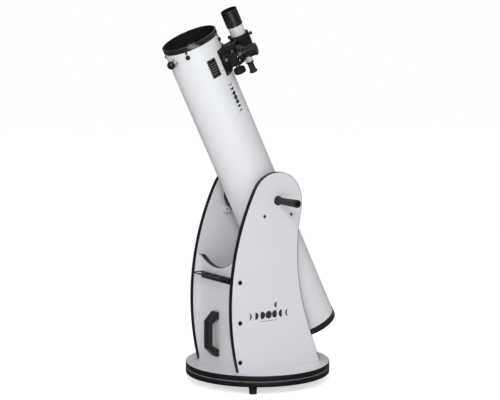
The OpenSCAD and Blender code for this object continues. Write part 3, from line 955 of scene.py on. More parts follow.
class Effects:
    """Shader groups that several finishes share."""

    def __init__(self) -> None:
        """Builds the groups."""
        self.grain = self._grain()
        self.wear = self._wear()
        self.dust = self._dust()

    def _grain(self) -> bpy.types.NodeTree:
        """Fine texture: a height, and a slow patchy mask.

        Returns:
            The group.
        """
        tree, wiring, start, end = new_group(
            "fine_grain",
            Tree.SHADER,
            [("Scale", FLOAT, 800.0), ("Roughness", FLOAT, 0.6), ("Stretch", VECTOR, (1.0, 1.0, 1.0))],
            [("Height", FLOAT), ("Patches", FLOAT)],
        )
        place = wiring.add("ShaderNodeTexCoord").outputs["Object"]
        scaled = wiring.add(
            "ShaderNodeVectorMath", {"operation": "MULTIPLY"}, _0=place, _1=start.outputs["Stretch"]
        ).outputs[0]
        fine = wiring.add(
            "ShaderNodeTexNoise",
            Vector=scaled, Scale=start.outputs["Scale"], Detail=3.0, Roughness=start.outputs["Roughness"],
        )
        slow = wiring.add("ShaderNodeTexNoise", Vector=place, Scale=9.0, Detail=4.0, Roughness=0.55)
        tree.links.new(fine.outputs["Fac"], end.inputs["Height"])
        tree.links.new(slow.outputs["Fac"], end.inputs["Patches"])
        return tree

    def _wear(self) -> bpy.types.NodeTree:
        """Mask of rubbed edges.

        Returns:
            The group.
        """
        tree, wiring, start, end = new_group(
            "rubbed_edges",
            Tree.SHADER,
            [("Width", FLOAT, 0.0008), ("Amount", FLOAT, 0.5), ("Breakup", FLOAT, 60.0)],
            [("Mask", FLOAT)],
        )
        soft = wiring.add("ShaderNodeBevel", {"samples": 4}, Radius=start.outputs["Width"])
        crisp = wiring.add("ShaderNodeNewGeometry")
        match = wiring.add(
            "ShaderNodeVectorMath",
            {"operation": "DOT_PRODUCT"},
            _0=soft.outputs[0],
            _1=crisp.outputs["Normal"],
        ).outputs["Value"]
        edge = wiring.add("ShaderNodeMapRange", _0=match, _1=0.995, _2=0.86, _3=0.0, _4=1.0).outputs[0]
        place = wiring.add("ShaderNodeTexCoord").outputs["Object"]
        broken = wiring.add("ShaderNodeTexNoise", Vector=place, Scale=start.outputs["Breakup"], Detail=5.0)
        share = wiring.add("ShaderNodeMapRange", _0=broken.outputs["Fac"], _1=0.42, _2=0.68, _3=0.0, _4=1.0)
        amount = wiring.math("MULTIPLY", share.outputs[0], start.outputs["Amount"])
        mask = wiring.math("MULTIPLY", edge, amount)
        tree.links.new(mask, end.inputs["Mask"])
        return tree

    def _dust(self) -> bpy.types.NodeTree:
        """Mask of thin dust on surfaces that face up.

        Returns:
            The group.
        """
        tree, wiring, start, end = new_group(
            "settled_dust", Tree.SHADER, [("Amount", FLOAT, 0.1)], [("Mask", FLOAT)]
        )
        normal = wiring.add("ShaderNodeNewGeometry").outputs["Normal"]
        up = wiring.add("ShaderNodeSeparateXYZ", Vector=normal).outputs["Z"]
        lying = wiring.add("ShaderNodeMapRange", _0=up, _1=0.35, _2=1.0, _3=0.0, _4=1.0).outputs[0]
        place = wiring.add("ShaderNodeTexCoord").outputs["Object"]
        specks = wiring.add("ShaderNodeTexNoise", Vector=place, Scale=140.0, Detail=6.0, Roughness=0.7)
        share = wiring.add("ShaderNodeMapRange", _0=specks.outputs["Fac"], _1=0.4, _2=0.7, _3=0.3, _4=1.0)
        amount = wiring.math("MULTIPLY", share.outputs[0], start.outputs["Amount"])
        mask = wiring.math("MULTIPLY", lying, amount)
        tree.links.new(mask, end.inputs["Mask"])
        return tree


def principled(tree: bpy.types.NodeTree) -> bpy.types.Node:
    """The Principled BSDF that a new material comes with."""
    return next(node for node in tree.nodes if node.type == "BSDF_PRINCIPLED")


class Relief(Enum):
    """Kinds of small relief on a surface."""

    NOISE = "noise"
    CRINKLE = "crinkle"
    FLAKE = "flake"


DUST = (0.4, 0.39, 0.38)


@dataclass(frozen=True)
class Finish:
    """A surface: its colours, gloss, relief, rubbed edges and dust."""

    name: str
    color: Color
    shade: Color
    roughness: float
    spread: float = 0.06
    metallic: float = 0.0
    coat: float = 0.0
    grain: float = 900.0
    depth: float = 0.00002
    stretch: Color = (1.0, 1.0, 1.0)
    relief: Relief = Relief.NOISE
    wear: float = 0.3
    wear_color: Color = (0.2, 0.2, 0.2)
    dust: float = 0.08
    ior: float = 1.5
    subsurface: float = 0.0
    transmission: float = 0.0

    def build(self, effects: Effects) -> bpy.types.Material:
        """Makes the material.

        Args:
            effects: the shared shader groups.

        Returns:
            The material.
        """
        material = bpy.data.materials.new(self.name)
        material.use_nodes = True
        tree = material.node_tree
        wiring = Wiring(tree)
        shader = principled(tree)
        plain = {
            "Metallic": self.metallic, "Coat Weight": self.coat, "Coat Roughness": 0.05, "IOR": self.ior,
            "Subsurface Weight": self.subsurface, "Transmission Weight": self.transmission,
        }
        for label, value in plain.items():
            shader.inputs[label].default_value = value
        if self.subsurface:
            shader.inputs["Subsurface Scale"].default_value = 0.002
        grain = wiring.add(
            "ShaderNodeGroup", {"node_tree": effects.grain}, Scale=self.grain, Stretch=self.stretch
        )
        dust = wiring.add("ShaderNodeGroup", {"node_tree": effects.dust}, Amount=self.dust).outputs[0]
        patches = grain.outputs["Patches"]
        tone = self._mix(wiring, patches, self.color, self.shade)
        if self.wear:
            rubbed = wiring.add("ShaderNodeGroup", {"node_tree": effects.wear}, Amount=self.wear).outputs[0]
            tone = self._mix(wiring, rubbed, tone, self.wear_color)
        tone = self._mix(wiring, dust, tone, DUST)
        tree.links.new(self.paint(wiring, tone), shader.inputs["Base Color"])
        low, high = max(0.02, self.roughness - self.spread), self.roughness + self.spread
        gloss = wiring.add("ShaderNodeMapRange", _0=patches, _1=0.3, _2=0.7, _3=low, _4=high).outputs[0]
        tree.links.new(wiring.math("MAXIMUM", gloss, dust), shader.inputs["Roughness"])
        height = self._height(wiring, grain.outputs["Height"])
        bump = wiring.add("ShaderNodeBump", Strength=1.0, Distance=self.depth, Height=height)
        tree.links.new(bump.outputs[0], shader.inputs["Normal"])
        return material

    def paint(self, wiring: Wiring, tone: bpy.types.NodeSocket) -> bpy.types.NodeSocket:
        """Adds what is printed over the base tone; nothing on a plain finish."""
        return tone

    def _mix(self, wiring: Wiring, mask: object, first: object, second: object) -> bpy.types.NodeSocket:
        """Mixes two colours by a mask.

        Args:
            wiring: the material's tree.
            mask: a socket; 0 gives the first colour.
            first: a colour or a socket.
            second: a colour or a socket.

        Returns:
            The mixed colour.
        """
        colors = [c if isinstance(c, bpy.types.NodeSocket) else (*c, 1.0) for c in (first, second)]
        node = wiring.add("ShaderNodeMix", {"data_type": "RGBA"}, _0=mask, _6=colors[0], _7=colors[1])
        return node.outputs[2]

    def _height(self, wiring: Wiring, noise: bpy.types.NodeSocket) -> bpy.types.NodeSocket:
        """Height of the small relief.

        Args:
            wiring: the material's tree.
            noise: height of the fine texture.

        Returns:
            The height.
        """
        if self.relief is Relief.NOISE:
            return noise
        place = wiring.add("ShaderNodeTexCoord").outputs["Object"]
        feature = "DISTANCE_TO_EDGE" if self.relief is Relief.CRINKLE else "F1"
        cells = wiring.add("ShaderNodeTexVoronoi", {"feature": feature}, Vector=place, Scale=self.grain)
        soft = wiring.add("ShaderNodeMapRange", _0=cells.outputs["Distance"], _1=0.0, _2=0.35).outputs[0]
        return wiring.math("ADD", soft, wiring.math("MULTIPLY", noise, 0.4))


@dataclass(frozen=True)
class PlatePrint(Finish):
    """Anodised plate with a plain ruled border and blank rules, in its own flat map."""

    half_width: float = 16.5
    half_height: float = 32.0
    margin: float = 2.0
    line: float = 0.28
    rule: float = 0.5
    rule_pitch: float = 4.3
    rule_reach: float = 10.5
    ruled_height: float = 21.5
    ink: Color = (0.42, 0.42, 0.43)

    def paint(self, wiring: Wiring, tone: bpy.types.NodeSocket) -> bpy.types.NodeSocket:
        """Draws the border and the rules.

        Args:
            wiring: the material's tree.
            tone: the colour under them.

        Returns:
            The printed colour.
        """
        place = wiring.add("ShaderNodeUVMap", {"uv_map": "plate"}).outputs[0]
        split = wiring.add("ShaderNodeSeparateXYZ", Vector=place)
        across = wiring.math("ABSOLUTE", split.outputs["X"])
        along = wiring.math("ABSOLUTE", split.outputs["Y"])
        side = wiring.math("SUBTRACT", across, (self.half_width - self.margin) * MM)
        end = wiring.math("SUBTRACT", along, (self.half_height - self.margin) * MM)
        reach = wiring.math("ABSOLUTE", wiring.math("MAXIMUM", side, end))
        border = wiring.math("LESS_THAN", reach, self.line * MM)
        lifted = wiring.math("ADD", split.outputs["Y"], 1.0 * MM)
        beat = wiring.math("PINGPONG", lifted, self.rule_pitch * MM)
        rule = wiring.math("LESS_THAN", beat, self.rule * MM)
        inside = wiring.math("LESS_THAN", across, self.rule_reach * MM)
        upper = wiring.math("LESS_THAN", along, self.ruled_height * MM)
        rules = wiring.math("MULTIPLY", rule, wiring.math("MULTIPLY", inside, upper))
        mask = wiring.math("MAXIMUM", border, rules)
        return self._mix(wiring, mask, tone, self.ink)


class Finishes:
    """Every material of the telescope, by the part of it that wears it."""

    def __init__(self) -> None:
        """Builds the materials."""
        effects = Effects()

        def made(finish: Finish) -> bpy.types.Material:
            """Builds one finish."""
            return finish.build(effects)

        self.board = made(Finish(
            "melamine_board", (0.75, 0.745, 0.785), (0.72, 0.715, 0.755), 0.36, 0.05, grain=420,
            depth=0.00003, wear=0.15, wear_color=(0.55, 0.54, 0.52), dust=0.0105,
        ))
        self.strip = made(Finish(
            "edge_strip", (0.006, 0.006, 0.0065), (0.01, 0.01, 0.0105), 0.3, 0.06, grain=260,
            depth=0.00004, wear=0.2, dust=0.0175, ior=1.33,
        ))
        self.tube_paint = made(Finish(
            "tube_gloss", (0.78, 0.795, 0.815), (0.765, 0.78, 0.8), 0.3, 0.008, coat=0.08, grain=130,
            depth=0.000035, wear=0.0, dust=0.007,
        ))
        self.tube_inside = made(Finish(
            "tube_inside", (0.007, 0.007, 0.007), (0.01, 0.01, 0.01), 0.72, 0.05, grain=900, depth=0.00006,
            wear=0.0, dust=0.007, ior=1.33,
        ))
        self.ring_gloss = made(Finish(
            "ring_gloss", (0.004, 0.004, 0.0045), (0.006, 0.006, 0.0065), 0.18, 0.04, coat=0.6, grain=160,
            depth=0.00003, wear=0.15, wear_color=(0.25, 0.25, 0.26), dust=0.0105, ior=1.8,
        ))
        self.cast = made(Finish(
            "cast_crinkle", (0.008, 0.008, 0.0085), (0.012, 0.012, 0.0125), 0.5, 0.06, grain=1500,
            depth=0.00005, relief=Relief.CRINKLE, wear=0.35, wear_color=(0.3, 0.3, 0.31), dust=0.021,
            ior=1.33,
        ))
        self.moulded = made(Finish(
            "moulded_black", (0.009, 0.009, 0.0095), (0.013, 0.013, 0.0135), 0.42, 0.06, grain=1100,
            depth=0.00004, wear=0.2, wear_color=(0.08, 0.08, 0.08), dust=0.028, ior=1.33,
        ))
        self.handle = made(Finish(
            "handle_plastic", (0.015, 0.0135, 0.0135), (0.02, 0.018, 0.018), 0.4, 0.07, grain=700,
            depth=0.00005, wear=0.3, wear_color=(0.1, 0.095, 0.09), dust=0.035, ior=1.33,
        ))
        self.knob = made(Finish(
            "knob_gloss", (0.0045, 0.0045, 0.005), (0.007, 0.007, 0.0075), 0.1, 0.03, coat=0.3, grain=200,
            depth=0.00001, wear=0.1, dust=0.0105, ior=1.5,
        ))
        self.rubber = made(Finish(
            "rubber", (0.01, 0.01, 0.01), (0.014, 0.014, 0.014), 0.66, 0.06, grain=1600, depth=0.00004,
            wear=0.1, wear_color=(0.07, 0.07, 0.07), dust=0.042, ior=1.33,
        ))
        self.sheet = made(Finish(
            "powder_coat", (0.007, 0.007, 0.0075), (0.01, 0.01, 0.0105), 0.45, 0.05, grain=1300,
            depth=0.00004, relief=Relief.FLAKE, wear=0.3, dust=0.028, ior=1.33,
        ))
        self.steel = made(Finish(
            "bright_steel", (0.62, 0.62, 0.63), (0.54, 0.54, 0.56), 0.22, 0.06, metallic=1.0, grain=600,
            depth=0.000008, stretch=(1.0, 1.0, 0.2), wear=0.2, wear_color=(0.8, 0.8, 0.8), dust=0.007,
        ))
        self.screw = made(Finish(
            "zinc_screw", (0.3, 0.3, 0.31), (0.22, 0.22, 0.23), 0.34, 0.07, metallic=1.0, grain=700,
            depth=0.00001, wear=0.3, wear_color=(0.5, 0.5, 0.5), dust=0.01,
        ))
        self.chrome = made(Finish(
            "chrome", (0.78, 0.78, 0.79), (0.72, 0.72, 0.74), 0.08, 0.03, metallic=1.0, grain=300,
            depth=0.000003, wear=0.0, dust=0.0035,
        ))
        self.nylon = made(Finish(
            "nylon", (0.74, 0.735, 0.71), (0.68, 0.675, 0.65), 0.42, 0.05, grain=500, depth=0.00003,
            wear=0.1, wear_color=(0.5, 0.49, 0.47), dust=0.0105, subsurface=0.15,
        ))
        self.anodised = made(Finish(
            "anodised_black", (0.0065, 0.0065, 0.007), (0.0095, 0.0095, 0.01), 0.29, 0.05,
            grain=1400, depth=0.00001, wear=0.3, wear_color=(0.35, 0.35, 0.36), dust=0.0105, ior=1.58,
        ))
        self.mirror = made(Finish(
            "aluminised_glass", (0.9, 0.9, 0.91), (0.88, 0.88, 0.9), 0.03, 0.01, metallic=1.0, grain=200,
            depth=0.000001, wear=0.0, dust=0.0035,
        ))
        self.lens = made(Finish(
            "coated_lens", (0.35, 0.42, 0.5), (0.4, 0.36, 0.5), 0.03, 0.01, grain=100, depth=0.000001,
            wear=0.0, dust=0.0017, ior=1.52, transmission=0.85,
        ))
        self.ink = made(Finish(
            "printed_ink", (0.02, 0.02, 0.024), (0.03, 0.03, 0.034), 0.45, 0.05, grain=900, depth=0.00001,
            wear=0.0, dust=0.0035,
        ))
        self.plate = made(PlatePrint(
            "plate_print", (0.007, 0.007, 0.0075), (0.01, 0.01, 0.0105), 0.34, 0.05, metallic=0.2,
            grain=1200, depth=0.00001, wear=0.2, wear_color=(0.4, 0.4, 0.4), dust=0.007,
        ))
        self.floor = made(Finish(
            "studio_floor", (0.97, 0.97, 0.97), (0.965, 0.965, 0.965), 0.6, 0.02, grain=60, depth=0.00001,
            wear=0.0, dust=0,
        ))


# ---------- Small parts ----------

INK = 0.06  # thickness of anything printed, in millimetres
MOONS = 7


def screw_head(radius: float, height: float, recess: Sequence[Point]) -> Blank:
    """A pan head with a recess, standing on Z = 0."""
    head = Blank().slab([circle(radius), reverse(recess)], 0.0, height, edge=min(0.9, height * 0.45))
    return head.slab([circle(radius * 0.8, 24)], 0.0, height * 0.45)


def hexagon(radius: float) -> list[Point]:
    """Hexagonal outline."""
    return circle(radius, 6)


@dataclass
class Workshop:
    """What every sub-assembly needs: the frame, the finishes and the repeat trees."""

    frame: Frame
    finishes: Finishes
    repeats: Repeats

    @property
    def axes(self) -> Axes:
        """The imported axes."""
        return self.frame.axes


@dataclass
class KnurledScrew:
    """A thumbscrew along Z: a shank from its tip, and a knurled, dished head from low to high."""

    tip: float
    shank: float
    head: float
    low: float
    high: float
    ridges: int = 30

    def build(self, shop: Workshop, name: str, place: Place, finish: bpy.types.Material) -> bpy.types.Object:
        """Makes the screw.

        Args:
            shop: the workshop.
            name: name of the object.
            place: frame whose Z runs from the tip to the head.
            finish: its material.

        Returns:
            The object.
        """
        tip, shank, rim, low, high = self.tip, self.shank, self.head, self.low, self.high
        profile = [
            (0, tip), (shank - 0.4, tip), (shank, tip + 0.5), (shank, low - 1.0), (shank + 1.2, low - 0.6),
            (shank + 1.2, low), (rim - 0.6, low), (rim, low + 0.6), (rim, high - 0.8), (rim - 0.7, high),
            (rim - 1.8, high), (rim - 2.2, high - 0.5), (0, high - 0.5),
        ]
        core = Blank().lathe(profile, 48, closed=False).done(name, place, [finish])
        ring = shop.repeats.ridge_ring(
            name + "_ridges", place, finish, self.ridges, rim - 0.12, 0.32, low + 0.9, high - 1.1
        )
        return joined(name, [core, ring])


# ---------- Rocker box ----------


@dataclass
class RockerBox:
    """Round boards, panels, front board, handle, rack, rollers and feet."""

    shop: Workshop
    crown: float = 0.55
    bolt_heights: tuple[float, ...] = (101.0, 235.0, 372.0)
    bolt_radius: float = 7.5
    handle_half_width: float = 16.5
    handle_round: float = 5.0
    foot_angles: tuple[float, ...] = (-38.0, 82.0, 202.0)
    foot_circle: float = 215.0
    roller_reach: float = 54.0
    roller_width: float = 16.0
    roller_gap: float = 0.4
    rack_screw_x: tuple[float, ...] = (-72.0, -24.0, 24.0, 72.0)
    grip_ribs: int = 34
    emblem_y: float = -43.0
    emblem_height: float = 252.0
    moon_radius: float = 13.0
    moon_pitch: float = 27.0
    rule: float = 34.0

    def build(self) -> None:
        """Builds and dresses the whole rocker box."""
        self._boards()
        self._round_strips()
        self._edge_strips()
        self._bolts()
        self._handle()
        self._rack()
        self._rollers()
        self._feet()
        self._emblem()

    def _boards(self) -> None:
        """Dresses the boards and the pivot, whose shapes stay."""
        frame, finishes = self.shop.frame, self.shop.finishes
        frame.dress(
            finishes.board, "ground_board", "base_disc", "side_panel_left", "side_panel_right", "front_board"
        )
        frame.dress(finishes.nylon, "pivot_bush")
        frame.dress(finishes.steel, "foot_screws")
        frame.softened("azimuth_glides", finishes.nylon, "azimuth_pads", edge=0.5)
        frame.softened("pivot_bolt_turned", finishes.steel, "pivot_bolt", edge=0.4)
        frame.softened("pivot_nut_turned", finishes.steel, "pivot_nut", edge=0.4)

    def _round_strips(self) -> None:
        """Crowned edge strips of the two round boards."""
        for node in ("ground_strip", "base_strip"):
            low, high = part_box(node)
            outer, bottom, top = high.x / MM, low.z / MM, high.z / MM
            rim = [
                (outer - 2.0, bottom), (outer - self.crown, bottom), (outer, (bottom * 3 + top) / 4),
                (outer, (bottom + top * 3) / 4), (outer - self.crown, top), (outer - 2.0, top),
            ]
            blank = Blank().lathe(rounded(rim, 2.5, 4), 256)
            strip = blank.done(node + "_crowned", WORLD, [self.shop.finishes.strip])
            self.shop.frame.hang(strip, node)

    def _edge_strips(self) -> None:
        """Rounded edge strips of the panels and the front board."""
        frame, strip = self.shop.frame, self.shop.finishes.strip
        for node in ("panel_strip_left", "panel_strip_right", "front_strip"):
            frame.softened(node + "_rounded", strip, node, edge=0.7, limit=50)

    def _bolts(self) -> None:
        """Black caps on the panel bolts, and the roller screws from head to end."""
        shop = self.shop
        low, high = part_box("cap_bolts")
        y = (low.y + high.y) / 2 / MM
        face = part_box("side_panel_right")[1].x / MM
        spots = [
            WORLD.moved(side.sign * face, y, z).facing(Vector((side.sign, 0, 0)))
            for side in SIDES for z in self.bolt_heights
        ]
        cap = screw_head(self.bolt_radius, high.x / MM - face, hexagon(3.2))
        shop.frame.hang(shop.repeats.on_points("bolt_caps", cap, shop.finishes.moulded, spots), "cap_bolts")
        low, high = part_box("roller_screws")
        drop = (low.z + high.z) / 2 / MM
        heads = self._roller_spots(face, drop)
        head = screw_head(5.5, high.x / MM - face, cross(2.6, 0.6))
        outside = shop.repeats.on_points("roller_screw_heads", head, shop.finishes.screw, heads)
        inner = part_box("altitude_rollers")[1].x / MM - self.roller_width - self.roller_gap
        length = face + 1.0 - inner
        ends = self._roller_spots(inner, drop)
        shank = Blank().lathe([(0, 0), (2.4, 0), (3.0, 0.6), (3.0, length), (0, length)], 24, closed=False)
        shanks = shop.repeats.on_points("roller_screw_shanks", shank, shop.finishes.screw, ends)
        shop.frame.hang(joined("roller_screws_turned", [outside, shanks]), "roller_screws")

    def _roller_spots(self, reach: float, height: float) -> list[Place]:
        """Frames on the axes of the four rollers, facing outward.

        Args:
            reach: distance of each frame from the middle of the rocker box.
            height: height of the axes.

        Returns:
            The frames.
        """
        centre = self.shop.axes.tube.origin.y / MM
        rows = [(side.sign, centre + part * self.roller_reach) for side in SIDES for part in (-1, 1)]
        return [WORLD.moved(sign * reach, y, height).facing(Vector((sign, 0, 0))) for sign, y in rows]

    def _handle(self) -> None:
        """Carrying handle with a ribbed grip."""
        shop = self.shop
        low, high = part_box("carry_handle")
        root, out, bottom, top = (v / MM for v in (high.y, low.y, low.z, high.z))
        outer = [
            (root, bottom), (root - 12, bottom), (out, bottom + 30), (out, top - 30), (root - 12, top),
            (root, top),
        ]
        inner = [
            (root, top - 27), (root - 9, top - 27), (out + 16, top - 41), (out + 16, bottom + 41),
            (root - 9, bottom + 27), (root, bottom + 27),
        ]
        outline = rounded(reverse(outer + inner), self.handle_round, 5)
        half = self.handle_half_width
        blank = Blank().slab([outline], -half, half, edge=3.0)
        body = blank.done("carry_handle_body", WORLD.facing_x(), [shop.finishes.handle])
        count, first, last = self.grip_ribs, bottom + 36, top - 36
        ribs = shop.repeats.bar_row(
            "carry_handle_ribs", shop.finishes.handle, Vector((0, (out + 0.55) * MM, first * MM)),
            Vector((0, 0, (last - first) / (count - 1) * MM)), count, 0.9 * MM, 2 * (half - 4.5) * MM,
        )
        shop.frame.hang(joined("carry_handle_ribbed", [body, ribs]), "carry_handle")

    def _rack(self) -> None:
        """Eyepiece rack with softened edges and the screws of its flange."""
        shop = self.shop
        shop.frame.softened("eyepiece_rack_sheet", shop.finishes.sheet, "eyepiece_rack", edge=0.5, limit=60)
        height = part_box("eyepiece_rack")[0].z / MM + 9.0
        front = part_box("front_board")[0].y / MM - 3.0
        spots = [WORLD.moved(x, front, height).facing(Vector((0, -1, 0))) for x in self.rack_screw_x]
        heads = shop.repeats.on_points(
            "rack_screws", screw_head(3.6, 1.8, cross(1.9, 0.45)), shop.finishes.screw, spots
        )
        shop.frame.hang(heads, body="rocker", slot="steel")

    def _rollers(self) -> None:
        """Nylon rollers with a bore and rounded rims."""
        shop = self.shop
        low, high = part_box("altitude_rollers")
        wide = self.roller_width
        spots = self._roller_spots(high.x / MM - wide, (low.z + high.z) / 2 / MM)
        profile = rounded(
            [(3.1, 0), (7, 0), (7.4, 0.7), (9, 0.7), (9.4, 0), (12, 0), (12, wide), (3.1, wide)], 0.7, 3
        )
        roller = Blank().lathe(profile, 64)
        rollers = shop.repeats.on_points("nylon_rollers", roller, shop.finishes.nylon, spots)
        shop.frame.hang(rollers, "altitude_rollers")

    def _feet(self) -> None:
        """Rubber feet with a grooved flank."""
        shop = self.shop
        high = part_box("feet")[1].z / MM
        profile = rounded(
            [
                (0, 0), (12.4, 0), (13, 0.8), (13, 9.5), (12.4, 10), (12.4, 11), (13.2, 11.6), (15.5, high),
                (0, high),
            ],
            0.6, 3, closed=False,
        )
        spots = [WORLD.turned(angle).moved(self.foot_circle) for angle in self.foot_angles]
        foot = Blank().lathe(profile, 48, closed=False)
        feet = shop.repeats.on_points("rubber_feet", foot, shop.finishes.rubber, spots)
        shop.frame.hang(feet, "feet")

    def _emblem(self) -> None:
        """Row of moon phases and a rule, printed on the outside of both panels."""
        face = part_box("side_panel_right")[1].x / MM
        for side in SIDES:
            across, out = Vector((0, side.sign, 0)), Vector((side.sign, 0, 0))
            middle = WORLD.point(side.sign * face, self.emblem_y, self.emblem_height)
            place = Place(middle, across, WORLD.z, out)
            blank = moon_row(Blank(), self.moon_radius, self.moon_pitch, MOONS)
            blank.slab([rectangle(-self.rule, -21.4, self.rule, -20.2)], 0.0, INK)
            blank.slab([crescent(10.0, 33.0 * side.sign, 31.0)], 0.0, INK)
            printed = blank.done("panel_moons_" + side.name, place, [self.shop.finishes.ink])
            self.shop.frame.hang(printed, body="rocker", slot="label")


def crescent(radius: float, x: float, y: float, steps: int = 24) -> list[Point]:
    """Outline of a crescent around a point, open towards +X.

    Args:
        radius: its outer radius.
        x: where the point is.
        y: where the point is.
        steps: points along each arc.

    Returns:
        The outline.
    """
    turns = [math.pi * (0.5 + k / steps) for k in range(steps + 1)]
    outer = [(x + radius * math.cos(a), y + radius * math.sin(a)) for a in turns]
    inner = [(x + radius * 0.1 * math.cos(a), y + radius * math.sin(a)) for a in reversed(turns[1:-1])]
    return outer + inner


def moon_row(blank: Blank, radius: float, pitch: float, count: int) -> Blank:
    """Adds a row of moon phases, thin on both ends and full in the middle.

    Args:
        blank: the blank to add to.
        radius: radius of each moon.
        pitch: distance between moons.
        count: an odd number of moons.

    Returns:
        The blank.
    """
    steps = 24
    half = count // 2
    for index in range(-half, half + 1):
        light = 1 - abs(index) / (half + 1)
        lean = 1 if index <= 0 else -1
        swell = 1 - 2 * light
        turns = [math.pi * k / steps - math.pi / 2 for k in range(steps + 1)]
        lit = [(radius * math.cos(a) * lean, radius * math.sin(a)) for a in turns]
        edge = [(radius * swell * math.cos(a) * lean, radius * math.sin(a)) for a in reversed(turns[1:-1])]
        outline = [(x + index * pitch, y) for x, y in lit + edge]
        blank.slab([outline if lean > 0 else reverse(outline)], 0.0, INK)
    return blank


# ---------- Optical tube ----------


